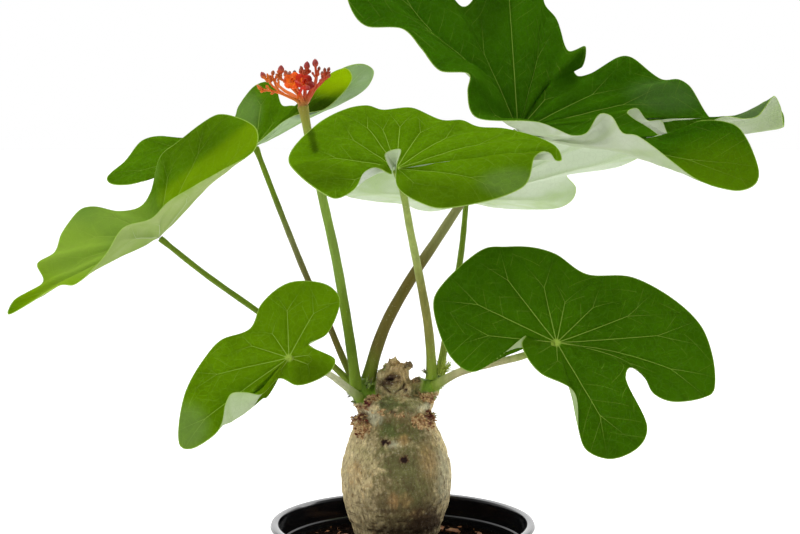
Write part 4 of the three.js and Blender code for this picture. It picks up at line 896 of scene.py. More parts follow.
def plastic_finish():
    finish = Finish("black_plastic")
    base = colours().pot
    wear = finish.noise(70, 5)
    tone = finish.mix(finish.span(wear, 0.4, 0.7), base, times(base, 1.5))
    fine = finish.noise(900, 3, coordinates=finish.stretched((1, 1, 0.25)))
    # The rim and what lies above the soil are glossy, and the wall below the band is duller
    height = finish.parts(finish.object)[2]
    band = POT_BOX[1].z - RIM_BAND * MM
    low = finish.span(height, band - 4 * MM, band - MM, 0.12, 0.0)
    shine = finish.maths("ADD", finish.span(finish.noise(240, 4), 0.3, 0.75, 0.10, 0.2), low)
    level = finish.span(height, band - MM, band + 2 * MM, 0.2, 0.5)
    normal = finish.bump(fine, 0.00004, 0.5)
    return finish.done(finish.coat(tone, shine, normal, IOR=1.5, Specular_IOR_Level=level))


def soil_finish():
    finish = Finish("damp_soil")
    dark = colours().soil
    light = times(dark, 3.0)
    clumps = finish.span(finish.noise(260, 6, 0.7), 0.4, 0.75)
    grains = finish.span(finish.cells(700), 0.15, 0.5)
    tone = finish.mix(finish.maths("MULTIPLY", clumps, grains), dark, light)
    straw = finish.span(finish.noise(520, 2, coordinates=finish.stretched((1, 0.3, 1))), 0.66, 0.72)
    tone = finish.mix(straw, tone, STRAW)
    height = finish.maths("ADD", finish.noise(900, 5, 0.7), grains)
    normal = finish.bump(height, 0.0006, 0.9)
    return finish.done(finish.coat(tone, 0.9, normal, Specular_IOR_Level=0.0))


def chip_finish():
    finish = Finish("bark_chips")
    base = colours().chip
    grain = finish.noise(420, 5, 0.7, coordinates=finish.stretched((0.3, 1, 1)))
    tone = finish.mix(finish.span(grain, 0.3, 0.7), times(base, 0.3), base)
    tone = finish.mix(finish.span(finish.noise(160, 3), 0.5, 0.7), tone, CHIP_PALE)
    normal = finish.bump(grain, 0.0005, 0.8)
    return finish.done(finish.coat(tone, 0.8, normal, Specular_IOR_Level=0.2))


def bark_finish():
    finish = Finish("bark")
    look = colours()
    bark = look.bark
    soft = finish.noise(110, 5, 0.6)
    tone = finish.mix(finish.span(soft, 0.35, 0.65), times(bark, 0.72), bark)
    ochre = finish.span(finish.noise(190, 3, 0.5), 0.54, 0.68, 0.0, 0.35)
    tone = finish.mix(ochre, tone, OCHRE)
    # Painted shade, darker in front and on the right of the stem
    tone = finish.mix(finish.attribute("painted_shade"), tone, look.bark_shade)
    # Grain in short dashes that run up the stem, and level wrinkles near its foot
    grain = finish.noise(640, 5, 0.72, coordinates=finish.stretched((1, 1, 0.42)))
    level = finish.noise(560, 4, 0.6, coordinates=finish.stretched((0.16, 0.16, 1)))
    low = finish.span(finish.parts(finish.object)[2], *WRINKLE_END, 0.7, 0.0)
    # What the mesh marks: green, bloom, rust, and dark bark with painted shade in the crown's creases, seams
    # and hollows
    green = finish.mix(finish.span(soft, 0.35, 0.65), look.moss, times(look.moss, 2.2))
    for kind, mark in (("green", green), ("bloom", look.bloom), ("rust", RUST), ("dark", DARK_BARK_AND_SHADE)):
        tone = finish.mix(finish.attribute(kind), tone, mark)
    pale = finish.mix(1.0, tone, (1.7, 1.72, 1.8), "MULTIPLY")
    tone = finish.mix(finish.span(grain, 0.52, 0.64, 0.0, 0.75), tone, pale)
    flecks = finish.span(finish.noise(1150, 3, 0.7), 0.56, 0.68, 0.0, 0.45)
    # The pale flecks fade where shade is painted
    flecks = finish.maths("MULTIPLY", flecks, finish.span(finish.attribute("painted_shade"), 0.0, 1.0, 1.0, 0.3))
    tone = finish.mix(flecks, tone, BARK_FLECK)
    dashes = finish.span(grain, 0.36, 0.48, 0.8, 0.0)
    tone = finish.mix(dashes, tone, finish.mix(0.8, tone, look.bark_dark))
    creases = finish.maths("MULTIPLY", finish.span(level, 0.36, 0.46, 1.0, 0.0), low)
    tone = finish.mix(creases, tone, look.bark_dark)
    # Cork, painted shade in the hollows, and shoots
    tone = finish.mix(finish.span(finish.attribute("cork"), 0.2, 0.8), tone, cork_tone(finish))
    tone = finish.mix(finish.attribute("maroon"), tone, MAROON)
    tone = finish.mix(finish.attribute("shaded_hollow"), tone, HOLLOW_SHADE)
    shoot = look.shoot
    green = finish.mix(finish.span(soft, 0.3, 0.7), times(shoot, 0.32), shoot)
    green = finish.mix(finish.attribute("bloom"), green, SHOOT_BLOOM)
    young = finish.attribute("shoot")
    tone = finish.mix(young, tone, green)
    height = finish.maths("SUBTRACT", grain, finish.maths("MULTIPLY", creases, 0.6))
    normal = finish.bump(height, 0.0009, 0.85)
    shine = finish.span(young, 0.0, 1.0, 0.8, 0.45)
    return finish.done(finish.coat(tone, shine, normal, Specular_IOR_Level=0.2))


def cork_tone(finish):
    """Crumbly cork: tan and red brown by turns."""
    grains = finish.span(finish.noise(900, 5, 0.75), 0.40, 0.6)
    tan = finish.mix(grains, CORK_BROWN, CORK_TAN)
    patches = finish.span(finish.noise(260, 3), 0.52, 0.64, 0.0, 0.65)
    return finish.mix(patches, tan, colours().cork)


def cork_finish():
    finish = Finish("cork")
    tint = finish.attribute("tint")
    tone = finish.mix(finish.span(tint, 0.0, 0.25), colours().cork, cork_tone(finish))
    tone = finish.mix(finish.span(tint, 0.7, 1.0, 0.0, 0.7), tone, CRUMB_TAN)
    normal = finish.bump(finish.noise(1100, 4, 0.7), 0.0005, 0.8)
    return finish.done(finish.coat(tone, 0.85, normal, Specular_IOR_Level=0.15))


def stalk_finish():
    finish = Finish("stalk_skin")
    skin = finish.attribute("skin", "Color")
    streaks = finish.noise(420, 4, 0.6, coordinates=finish.stretched((1, 1, 0.12)))
    tone = finish.mix(finish.span(streaks, 0.3, 0.7, 0.0, 0.28), skin, SKIN_STREAK)
    flecks = finish.span(finish.noise(1500, 2), 0.66, 0.74, 0.0, 0.35)
    tone = finish.mix(flecks, tone, SKIN_FLECK)
    normal = finish.bump(streaks, 0.00025, 0.6)
    return finish.done(finish.coat(tone, 0.5, normal, Specular_IOR_Level=0.06))


def stipule_finish():
    finish = Finish("stipules")
    base = colours().stipule
    fleck = finish.span(finish.noise(600, 3), 0.35, 0.65)
    tone = finish.mix(fleck, times(base, 0.4), times(base, 2.4))
    tone = finish.mix(finish.span(finish.attribute("along"), 0.55, 1.0), tone, BRISTLE_TIP)
    lime = finish.span(finish.parts(finish.object)[0], *LIME_START, 0.0, 0.85)
    tone = finish.mix(lime, tone, BRISTLE_LIME)
    return finish.done(finish.coat(tone, 0.6, finish.bump(fleck, 0.0002)))


def leaf_finish(name, fresh, back, veins):
    """A leaf's two faces: green with pale ribs on top, pale grey green below."""
    finish = Finish(name)
    look = colours()
    aside, out = finish.map("ribs")
    phase, reach = finish.map("net")
    edge = finish.attribute("edge")
    under = finish.attribute("under")

    # Ribs: a line out to the fork, then two arms that part from it and meet their neighbours
    past = finish.maths("MAXIMUM", finish.maths("SUBTRACT", out, 1.0), 0.0)
    fork = finish.maths("MULTIPLY", past, FORK_SPREAD)
    off = finish.maths("ABSOLUTE", finish.maths("SUBTRACT", aside, fork))
    half = finish.span(out, 0.0, 1.6, 0.21, 0.08)
    line = finish.span(finish.maths("DIVIDE", off, half), 0.5, 1.6, 1.0, 0.0)
    line = finish.maths("MULTIPLY", line, finish.span(out, 0.9, 1.5, 1.0, 0.12))
    groove_shade = finish.span(off, 0.3, 2.2, 1.0, 0.0)
    # Side veins: fine lines that leave the ribs and arch out
    wave = finish.maths("ABSOLUTE", finish.maths("SUBTRACT", finish.maths("FRACT", phase), 0.5))
    vein = finish.span(wave, 0.0, 0.035, 0.34 * veins, 0.0)
    vein = finish.maths("MULTIPLY", vein, finish.span(finish.noise(55, 2), 0.4, 0.6))
    mesh = finish.span(finish.cells(330, "DISTANCE_TO_EDGE"), 0.0, 0.10, 0.22, 0.0)

    soft = finish.noise(28, 4)
    mottle = finish.noise(240, 4, 0.6)
    plain = between(look.leaf, look.leaf_fresh, fresh)
    top = finish.mix(finish.span(soft, 0.3, 0.7), times(plain, 0.82), times(plain, 1.2))
    sunny = finish.attribute("sunny")
    shady = finish.attribute("shady")
    top = finish.mix(finish.span(mottle, 0.4, 0.65, 0.0, 0.25), top, times(plain, 1.5))
    # Painted shade along the sunk ribs
    top = finish.mix(finish.maths("MULTIPLY", groove_shade, 0.35), top, times(plain, 0.62))
    top = finish.mix(mesh, top, tuple(min(1.0, 1.7 * channel + 0.02) for channel in plain))
    # Painted light where a leaf is lit, and a painted sheen
    top = finish.mix(sunny, top, LEAF_SUNNY)
    top = finish.mix(finish.attribute("painted_sheen"), top, LEAF_PAINTED_SHEEN)
    top = finish.mix(vein, top, look.rib)
    top = finish.mix(finish.maths("MULTIPLY", line, 0.85 * veins), top, look.rib)
    hub = finish.span(reach, 0.9, 2.4, 0.9, 0.0)
    top = finish.mix(hub, top, look.rib)
    # Each leaf's back is tinted lighter or darker as light falls on it: painted light and shade
    pale = tuple(min(0.85, channel * part) for channel, part in zip(look.leaf_under, back))
    green = tuple(part * channel for part, channel in zip(BACK_GREEN_AND_SHADE, pale))
    below = finish.mix(finish.span(finish.noise(22, 3), 0.3, 0.62), green, pale)
    # Painted shade beside the ribs on the back
    below = finish.mix(finish.span(off, 0.4, 3.5, 0.4, 0.0), below, green)
    below = finish.mix(mesh, below, times(pale, 0.75))
    streak = finish.maths("MAXIMUM", finish.maths("MULTIPLY", line, 0.5), vein)
    below = finish.mix(streak, below, BACK_RIB)
    tone = finish.mix(under, top, below)
    tone = finish.mix(shady, tone, finish.mix(1.0, tone, LEAF_SHADE, "MULTIPLY"))
    rim = finish.span(edge, 0.1, 0.6, 0.7, 0.0)
    tone = finish.mix(rim, tone, LEAF_RIM)

    grain = finish.maths("MULTIPLY", mottle, 0.5)
    height = finish.maths("SUBTRACT", grain, finish.maths("MULTIPLY", mesh, 1.5))
    normal = finish.bump(height, 0.00018, 0.7)
    shine = finish.span(mottle, 0.3, 0.7, 0.46, 0.58)
    surface = finish.coat(tone, shine, normal, Specular_IOR_Level=0.0)
    sheer = between(look.sheer, look.sheer_fresh, fresh)
    sheer = finish.mix(sunny, sheer, SHEER_SUNNY)
    sheer = finish.mix(shady, sheer, SHEER_SHADY)
    return finish.done(finish.glow(surface, finish.mix(rim, sheer, SHEER_RIM), 0.35, normal))


def head_finish():
    finish = Finish("flower_head_skin")
    look = colours()
    along = finish.attribute("along")
    soft = finish.noise(500, 4)
    twig = finish.mix(finish.attribute("tint"), look.twig, TWIG_ORANGE)
    twig = finish.mix(finish.span(soft, 0.42, 0.7, 0.0, 0.3), twig, TWIG_TAN)
    foot = finish.span(finish.parts(finish.object)[2], *HEAD_FOOT, 0.85, 0.0)
    twig = finish.mix(foot, twig, finish.mix(soft, *TWIG_FOOT))
    tip = finish.mix(finish.attribute("large"), BUD_YOUNG, look.bud)
    tipped = finish.maths("MULTIPLY", finish.span(along, 0.45, 0.85), finish.attribute("ripe"))
    tone = finish.mix(tipped, twig, tip)
    dusty = finish.maths("MULTIPLY", finish.span(finish.noise(1400, 2), 0.5, 0.7, 0.0, 0.3), tipped)
    tone = finish.mix(dusty, tone, BUD_DUST)
    normal = finish.bump(finish.noise(900, 3), 0.0002, 0.6)
    surface = finish.coat(tone, 0.5, normal, Specular_IOR_Level=0.15)
    return finish.done(finish.glow(surface, tone, 0.12))


def petal_finish():
    finish = Finish("petals")
    look = colours()
    along = finish.attribute("along")
    streaks = finish.noise(900, 3, coordinates=finish.stretched((1, 1, 0.4)))
    ripe = finish.attribute("ripe")
    red = finish.mix(ripe, PETAL_ORANGE, look.petal)
    red = finish.mix(finish.span(streaks, 0.35, 0.7, 0.0, 0.5), red, PETAL_STREAK)
    heart = finish.span(along, 0.05, 0.6, 1.0, 0.0)
    heart = finish.maths("MULTIPLY", heart, finish.span(ripe, 0.0, 1.0, 1.0, 0.35))
    tone = finish.mix(heart, red, look.throat)
    # Painted shade on the right side of the riper flower
    shade = finish.span(finish.parts(finish.object)[0], *PETAL_DUSK, 0.0, 0.75)
    tone = finish.mix(finish.maths("MULTIPLY", shade, ripe), tone, PETAL_SHADE)
    surface = finish.coat(tone, 0.5, finish.bump(streaks, 0.0001, 0.6), Specular_IOR_Level=0.15)
    return finish.done(finish.glow(surface, tone, 0.3))


def floor_finish():
    finish = Finish("floor_paint")
    base = colours().floor
    tone = finish.mix(finish.noise(3, 2), base, times(base, 0.995))
    return finish.done(finish.coat(tone, 0.9))


def draws(seed):
    """Seeded draws between 0 and 1, the same on every run."""
    state = [seed]

    def draw():
        state[0] = state[0] * DRAW_STEP % DRAW_RANGE
        return state[0] / DRAW_RANGE

    return draw


def pot_outline():
    """The pot's section in millimetres: from the foot's middle out, up, over the lip and down inside."""
    size = sizes()
    height = size.pot_height / MM
    rim = size.pot_radius / MM
    base = size.pot_base / MM
    lip = size.lip / MM
    bottom = height - RIM_BAND
    body = rim - BODY_INSET
    inner = rim - lip
    return [
        (0, 0), (base - 3, 0), (base, 3), (body, bottom - 1), (body + 1.8, bottom + 0.6),
        (body + 2.2, height - 3.4), (rim - 0.6, height - 2.8), (rim, height - 1.4),
        (rim - 0.7, height - 0.2), (rim - lip / 2, height), (inner + 0.3, height - 0.4),
        (inner, height - 1.6),
        (inner - 0.3, bottom + 0.2), (body - POT_WALL + 0.2, bottom - 0.3), (base - POT_WALL, FLOOR + 1),
        (base - POT_WALL - 1, FLOOR), (0, FLOOR),
    ]


def with_stays(outline):
    """Adds a point near each end of the long sides, so that shading stays level along them."""
    full = [outline[0]]
    for start, end in zip(outline, outline[1:]):
        length = math.dist(start, end)
        if length > 5:
            for share in (STAY / length, 1 - STAY / length):
                full.append(between(start, end, share))
        full.append(end)
    return full


def pot_wall_radius(height):
    """Inner radius of the pot's wall, in millimetres."""
    outline = pot_outline()
    (low_radius, low), (high_radius, high) = outline[2], outline[3]
    return low_radius + (high_radius - low_radius) * (height - low) / (high - low) - POT_WALL


class JATROPHA_OT_pot(bpy.types.Operator):
    """Spins the pot from its section, bores its drain holes and rounds its edges"""

    bl_idname = "jatropha.pot"
    bl_label = "Pot"

    def execute(self, context):
        bpy.ops.object.select_all(action="DESELECT")
        outline = with_stays(pot_outline())
        bpy.ops.mesh.primitive_plane_add(size=0.01)
        pot = added("pot_glossy")
        bpy.ops.object.mode_set(mode="EDIT")
        bpy.ops.mesh.select_all(action="SELECT")
        bpy.ops.mesh.merge(type="CENTER")
        for (radius, height), (next_radius, next_height) in zip(outline, outline[1:]):
            move = ((next_radius - radius) * MM, 0, (next_height - height) * MM)
            bpy.ops.mesh.extrude_region_move(TRANSFORM_OT_translate={"value": move})
        bpy.ops.mesh.select_all(action="SELECT")
        bpy.ops.mesh.spin(steps=POT_SIDES, angle=2 * math.pi, center=(0, 0, 0), axis=(0, 0, 1))
        bpy.ops.mesh.select_all(action="SELECT")
        bpy.ops.mesh.remove_doubles(threshold=0.00002)
        bpy.ops.mesh.normals_make_consistent(inside=False)
        bpy.ops.object.mode_set(mode="OBJECT")
        drills = []
        for hole in range(DRAIN_HOLES):
            angle = 2 * math.pi * hole / DRAIN_HOLES
            reach = sizes().pot_base * DRAIN_RING
            spot = (reach * math.cos(angle), reach * math.sin(angle), FLOOR * MM / 2)
            bpy.ops.mesh.primitive_cylinder_add(
                vertices=32, radius=DRAIN_RADIUS * MM, depth=3 * FLOOR * MM, location=spot
            )
            drills.append(bpy.context.object)
        drill = joined("drain_drill", drills)
        use_modifier(pot, "BOOLEAN", object=drill, operation="DIFFERENCE", solver="EXACT")
        bpy.data.objects.remove(drill)
        use_modifier(
            pot, "BEVEL", width=0.0003, segments=3, limit_method="ANGLE", angle_limit=math.radians(24)
        )
        finished(pot, plastic_finish(), "pot", "pot", smooth=40)
        return {"FINISHED"}


def soil_height(x, y):
    """Height of the soil's surface, in millimetres."""
    distance = np.hypot(x - STEM_X, y)
    edge = sizes().pot_radius / MM - 6
    rise = SOIL_RISE * (1 - smoothstep(distance, 14, edge))
    waves = 0.5 * np.sin(x / 4.1 + 1) * np.cos(y / 5.3) + 0.35 * np.sin((x - y) / 2.9)
    return SOIL_EDGE + rise + waves


def crumb(name, spot, reach, seed):
    """A crumb of soil: a lump with broken faces."""
    bpy.ops.mesh.primitive_ico_sphere_add(subdivisions=2 if reach > 1.1 else 1, radius=reach * MM)
    lump = added(name)
    points = places(lump)
    shift = Vector((seed * 3.1, seed * 1.7, 0))
    swell = np.array([1 + 0.45 * noise.noise(Vector(p) / reach * 0.9 + shift) for p in points])
    move_to(lump, points * swell[:, None] * (1, 1, 0.7) + np.array(spot))
    return lump


class JATROPHA_OT_soil(bpy.types.Operator):
    """Fills the pot with rough soil round the stem and strews crumbs and bark chips on it"""

    bl_idname = "jatropha.soil"
    bl_label = "Soil and bark chips"

    def execute(self, context):
        finished(self.bed(), soil_finish(), "soil", "soil")
        finished(self.chips(), chip_finish(), "soil", "soil")
        return {"FINISHED"}

    def bed(self):
        """Rings of points from the foot of the stem's bore, up, out to the wall and down to the middle."""
        sides = SOIL_SIDES
        angles = np.arange(sides) * 2 * np.pi / sides
        spokes = np.stack([np.cos(angles), np.sin(angles)], 1)
        wall = pot_wall_radius(SOIL_EDGE) - SOIL_GAP
        levels = [level for level in STEM_PROFILE if level[0] <= SOIL_EDGE + 1]
        loops = []
        for height, radius in levels:
            flat = spokes * (radius + BORE_GAP) + (STEM_X, 0)
            loops.append(np.column_stack([flat, np.full(sides, height - 0.3)]))
        bore = spokes * BORE_MOUTH + (STEM_X, 0)
        for ring in range(SOIL_RINGS + 1):
            share = ring / SOIL_RINGS
            flat = bore * (1 - share) + spokes * wall * share
            height = soil_height(flat[:, 0], flat[:, 1])
            spots = np.column_stack([flat, height])
            loose = 0.9 * rough(spots, 6) + 0.5 * rough(spots, 1.8)
            spots[:, 2] += loose * (1 - 0.8 * share**8)
            loops.append(spots)
        for height in (SOIL_EDGE - 6, 60, 20, FLOOR + 3):
            flat = spokes * (pot_wall_radius(height) - SOIL_GAP)
            loops.append(np.column_stack([flat, np.full(sides, height)]))
        flat = spokes * (pot_wall_radius(FLOOR + 3) - 2.6)
        loops.append(np.column_stack([flat, np.full(sides, FLOOR + 0.3)]))
        points = np.vstack(loops + [[[STEM_X, 0, levels[0][0] - 0.6]], [[0, 0, FLOOR + 0.3]]])
        faces = [(a, d, c, b) for a, b, c, d in net_faces(len(loops), sides)]
        last = (len(loops) - 1) * sides
        for side in range(sides):
            beside = (side + 1) % sides
            faces.append((side, beside, len(points) - 2))
            faces.append((last + beside, last + side, len(points) - 1))
        bed = mesh_object("soil_bed", points, faces)
        crumbs = []
        draw = draws(CLOD_SEED)
        for number in range(sizes().clods):
            bearing = 2 * math.pi * draw()
            reach = 21 + 36 * draw() ** 0.8
            x = STEM_X * (1 - reach / 60) + reach * math.cos(bearing)
            y = reach * math.sin(bearing)
            size = 0.5 + 1.5 * draw() ** 3
            crumbs.append(crumb("crumb", (x, y, soil_height(x, y) + 0.1), size, number))
        return joined("soil_bed", [bed, *crumbs])

    def chips(self):
        """Chips of bark and small splinters, strewn on the soil."""
        draw = draws(CHIP_SEED)
        chips = []
        for number in range(CHIPS):
            bearing = 2 * math.pi * draw()
            reach = 27 + 21 * draw()
            size = [full * (0.55 + 0.45 * draw()) for full in CHIP_SIZE]
            x = STEM_X * 0.5 + reach * math.cos(bearing)
            y = reach * math.sin(bearing)
            turn_y = 0.5 * (draw() - 0.5)
            turn_x = 0.6 * (draw() - 0.5)
            turn_z = 2 * math.pi * draw()
            chips.append(self.chip(number, size, (turn_x, turn_y, turn_z), (x, y)))
        for number in range(SPLINTERS):
            bearing = 2 * math.pi * draw()
            reach = 22 + 33 * draw()
            size = [full * (0.14 + 0.22 * draw()) for full in CHIP_SIZE]
            turns = (0.8 * (draw() - 0.5), 0.8 * (draw() - 0.5), 2 * math.pi * draw())
            spot = (STEM_X + reach * math.cos(bearing), reach * math.sin(bearing))
            chips.append(self.chip(200 + number, size, turns, spot))
        return joined("bark_chips", chips)

    def chip(self, number, size, turns, spot):
        """A splinter of bark: a bevelled block, broken by noise."""
        x, y = spot
        bpy.ops.mesh.primitive_cube_add(size=MM)
        chip = added("bark_chip")
        chip.scale = size
        bpy.ops.object.transform_apply(scale=True)
        bpy.ops.object.mode_set(mode="EDIT")
        bpy.ops.mesh.select_all(action="SELECT")
        bpy.ops.mesh.subdivide(number_cuts=3)
        bpy.ops.object.mode_set(mode="OBJECT")
        points = places(chip)
        shift = np.array((number * 7.3, number * 2.9, 0))
        swell = 1 + 0.4 * rough((points + shift) * (1, 1.4, 1), 3.0)
        half = np.array(size) / 2
        round_off = 1 - 0.16 * ((points / half) ** 2).sum(1) / 3
        points = points * (swell * round_off)[:, None]
        turn_x, turn_y, turn_z = (Matrix.Rotation(turn, 3, axis) for turn, axis in zip(turns, "XYZ"))
        lift = (x, y, float(soil_height(x, y)) + 0.35 * size[2])
        move_to(chip, points @ np.array(turn_z @ turn_x @ turn_y).T + lift)
        return chip


def stem_radius(height):
    """Radius of the stem, in millimetres."""
    levels, radii = zip(*STEM_PROFILE)
    return float(np.interp(height, levels, radii))


def bulge_relief(height, angle):
    """Soft lobes of the bulge, which fade out where the stem enters the soil."""
    fade = float(smoothstep(height, BULGE_START, BULGE_START + 14))
    lobes = 0.5 * math.sin(3 * angle + 0.8) + 0.35 * math.sin(5 * angle + height / 11)
    return fade * (0.5 * lobes + 0.1 * math.sin(height / 2.6 + 2 * angle))


def stub(number, path, radii, roughness):
    """A stub of the crown, with bark that stands in and out."""

    def relief(share, angle):
        waves = math.sin(3 * angle + 5 * share + number) + 0.6 * math.sin(5 * angle - 9 * share)
        return roughness * 0.6 * waves

    return tube_object("stub", path, taper(*radii), 32, 16, relief=relief)


def nearness(points, centre, half_size):
    """How deep in an ellipsoid each point lies: 1 in its middle, 0 on its skin and below 0 outside."""
    return 1 - np.linalg.norm((points - centre) / half_size, axis=1)


class JATROPHA_OT_stem(bpy.types.Operator):
    """Grows the swollen stem and its crown as one skin, with scars, rings, cracks and cork"""

    bl_idname = "jatropha.stem"
    bl_label = "Stem and crown"

    def execute(self, context):
        foot = STEM_PROFILE[0][0]
        top = STEM_PROFILE[-1][0]

        def height(share):
            return foot + (top - foot) * share

        parts = [
            tube_object(
                "stem_body", [(STEM_X, 0, foot), (STEM_X, 0, (foot + top) / 2), (STEM_X, 0, top)],
                lambda share: stem_radius(height(share)), 72, 96,
                relief=lambda share, angle: bulge_relief(height(share), angle),
            )
        ]
        shoots = [(path, radii, 0) for path, radii, _ in SHOOTS]
        for number, (path, radii, roughness) in enumerate(CROWN + shoots):
            parts.append(stub(number, path, radii, roughness))
        for number, (spot, half) in enumerate(SCARS):
            bpy.ops.mesh.primitive_ico_sphere_add(subdivisions=4, radius=MM)
            lump = added("scar")
            points = places(lump)
            points = points * (1 + 0.16 * rough(points + number, 0.6))[:, None]
            move_to(lump, points * half + spot)
            parts.append(lump)
        stem = joined("stem_bark", parts)
        use_modifier(stem, "REMESH", mode="VOXEL", voxel_size=sizes().bark_grid)
        use_modifier(stem, "SMOOTH", factor=0.5, iterations=6)
        self.carve(stem)
        crumbs = self.crumbs(stem)
        finished(stem, bark_finish(), "bark", "stem", smooth=70)
        finished(crumbs, cork_finish(), "bark", "stem")
        return {"FINISHED"}

    def carve(self, stem):
        """Raises and sinks the bark, and notes for its material where its marks are."""
        points = places(stem)
        aims = normals(stem)
        right, back, up = points.T
        broad = rough(points, 7)
        fine = rough(points, 2.2, 4)
        tiny = rough(points, 0.9)
        cork = np.zeros(len(points))
        shaded_hollow = np.zeros(len(points))
        for spot, half in SCARS:
            near = nearness(points, spot, np.array(half) * 1.25)
            if max(half) > 3:
                cork = np.maximum(cork, smoothstep(near + 0.4 * fine, -0.1, 0.2))
            else:
                cork = np.maximum(cork, 0.6 * smoothstep(near + 0.3 * fine, -0.1, 0.1))
                shaded_hollow = np.maximum(shaded_hollow, smoothstep(near + 0.25 * fine, 0.02, 0.16))
        young = np.zeros(len(points))
        for path, radii, start in SHOOTS:
            off = distances(points, smooth_route(path, 24)) - radii[0]
            green = smoothstep(off, 3.0, 0.8) * smoothstep(up + 0.8 * fine, start, start + 2)
            young = np.maximum(young, green)
        crown = smoothstep(up, 171, 176) * (1 - young)
        stump = smoothstep(up, 178, 181) * smoothstep(right, 6, 4)
        wall = smoothstep(up, 100, 108)
        rings = np.sin(up / 0.95 + 1.3 * rough(points * (1, 1, 0.4), 14))
        ring_zone = 0.5 * smoothstep(up, 138, 150) * smoothstep(up, 170, 160) + smoothstep(up, 130, 112)
        cracks = smoothstep(np.abs(rough(points * (1, 1, 0.28), 2.4)), 0.16, 0.0)
        ledge_height = 168.6 + 2.2 * broad - 0.14 * (right + 4)
        ledge = np.exp(-(((up - ledge_height) / 1.6) ** 2)) * smoothstep(right, 8, 2)
        lift = 0.3 * broad + 0.2 * fine
        lift += 0.2 * rings * ring_zone * wall
        lift -= 0.4 * cracks * wall * (1 - cork)
        lift += cork * (1.0 * fine + 0.8 * tiny)
        lift += crown * (0.8 - 0.55 * stump) * rough(points * (1, 1, 0.6), 3.0, 4) + 0.3 * crown * tiny
        lift += ledge * (0.5 + 0.9 * fine) * (1 - young)
        lift += smoothstep(up, 187, 190) * 2.4 * rough(points * (1, 1, 0.3), 2.4)
        # The cut face in front of the stump: a shield under a seam, and a knob with an eye beside it
        front = smoothstep(back, -3, -6)
        part = (up - SHIELD_TIP[1]) / SHIELD_HEIGHT
        width = SHIELD_HALF * np.clip(part, 0.02, 1) ** 0.7
        inside = np.abs(right - SHIELD_TIP[0]) / width + 0.05 * fine
        inside = np.where(part < 0, 1.2 - 4 * part, inside)
        under_top = smoothstep(part, 1.1, 0.95) * front
        seam = np.exp(-(((inside - 1) / 0.16) ** 2)) * under_top * smoothstep(part, -0.16, -0.05)
        face = smoothstep(inside, 1.0, 0.8) * under_top
        lift = lift * (1 - 0.8 * face) + 0.35 * face - 1.3 * seam
        pit = smoothstep(nearness(points, *STUMP_HOLLOW) + 0.3 * fine, 0.0, 0.4)
        eye = smoothstep(nearness(points, *KNOB_EYE) + 0.2 * fine, 0.0, 0.4)
        lift -= 2.4 * pit + 1.1 * shaded_hollow + 1.2 * eye
        lift *= 1 - 0.9 * young
        lift *= smoothstep(up, 88, 99)
        names = ("painted_shade", "green", "bloom", "rust", "dark", "maroon")
        kinds = {kind: np.zeros(len(points)) for kind in names}
        for kind, spot, half, strength in MARKS:
            near = nearness(points, spot, half) + 0.35 * broad + 0.4 * fine
            kinds[kind] = np.maximum(kinds[kind], strength * smoothstep(near, -0.35, 0.6))
        # Painted shade in the sunk seam, the knob's eye and the stump's pit
        kinds["dark"] = np.maximum(kinds["dark"], np.maximum(0.95 * seam, np.maximum(eye, pit)))
        kinds["green"] = np.maximum(kinds["green"], 0.55 * face)
        crust = 0.9 * ledge * smoothstep(fine, -0.3, 0.3)
        crust += 0.5 * crown * (1 - stump) * smoothstep(fine, 0.0, 0.4)
        move_to(stem, points + aims * lift[:, None])
        note(stem, "cork", np.clip(cork + crust * (1 - young), 0, 1))
        # Painted shade deep in the small scars' pits and the stump's pit
        note(stem, "shaded_hollow", np.clip(np.maximum(shaded_hollow, 0.9 * pit), 0, 1))
        note(stem, "shoot", young)
        for kind, share in kinds.items():
            note(stem, kind, share if kind == "bloom" else share * (1 - young))

    def crumbs(self, stem):
        """Crumbs of cork, strewn where the bark is corky."""
        points = places(stem)
        aims = normals(stem)
        corky = np.flatnonzero((noted(stem, "cork") > 0.75) & (points[:, 2] > CRUMB_START))
        draw = draws(CRUMB_SEED)
        pieces = []
        for number in range(sizes().cork_crumbs):
            chosen = corky[int(draw() * len(corky))]
            reach = 0.35 + 0.75 * draw() ** 2
            piece = crumb("cork_crumb", points[chosen] + aims[chosen] * 0.3 * reach, reach, number)
            note_all(piece, tint=draw())
            pieces.append(piece)
        return joined("cork_crumbs", pieces)


def step_out(draw):
    """A random step of up to half a length along each axis."""
    return Vector((draw() - 0.5, draw() - 0.5, draw() - 0.5))


class JATROPHA_OT_stipules(bpy.types.Operator):
    """Sets tufts of curved bristles round the shoots"""

    bl_idname = "jatropha.stipules"
    bl_label = "Stipules"

    def execute(self, context):
        bristles = []
        for number, (root, aim, count, reach) in enumerate(TUFTS):
            draw = draws(TUFT_SEED + number)
            start = Vector(root)
            for _ in range(2 * count):
                heading = (Vector(aim) + step_out(draw) * 1.3).normalized()
                length = reach * (0.55 + 0.45 * draw())
                bow = Vector((draw() - 0.5, draw() - 0.5, 0.5 * draw())) * 0.5 * length
                foot = start - heading * 1.6 + step_out(draw) * 2.4
                middle = foot + heading * length * 0.55 + bow * 0.3
                route = [foot, middle, foot + heading * (length + 1) + bow]
                thick = 0.22 + 0.18 * draw()
                bristles.append(tube_object("bristle", route, taper(thick, 0.07), 5, 7))
        tufts = joined("stipule_tufts", bristles)
        finished(tufts, stipule_finish(), "bark", "stem")
        return {"FINISHED"}


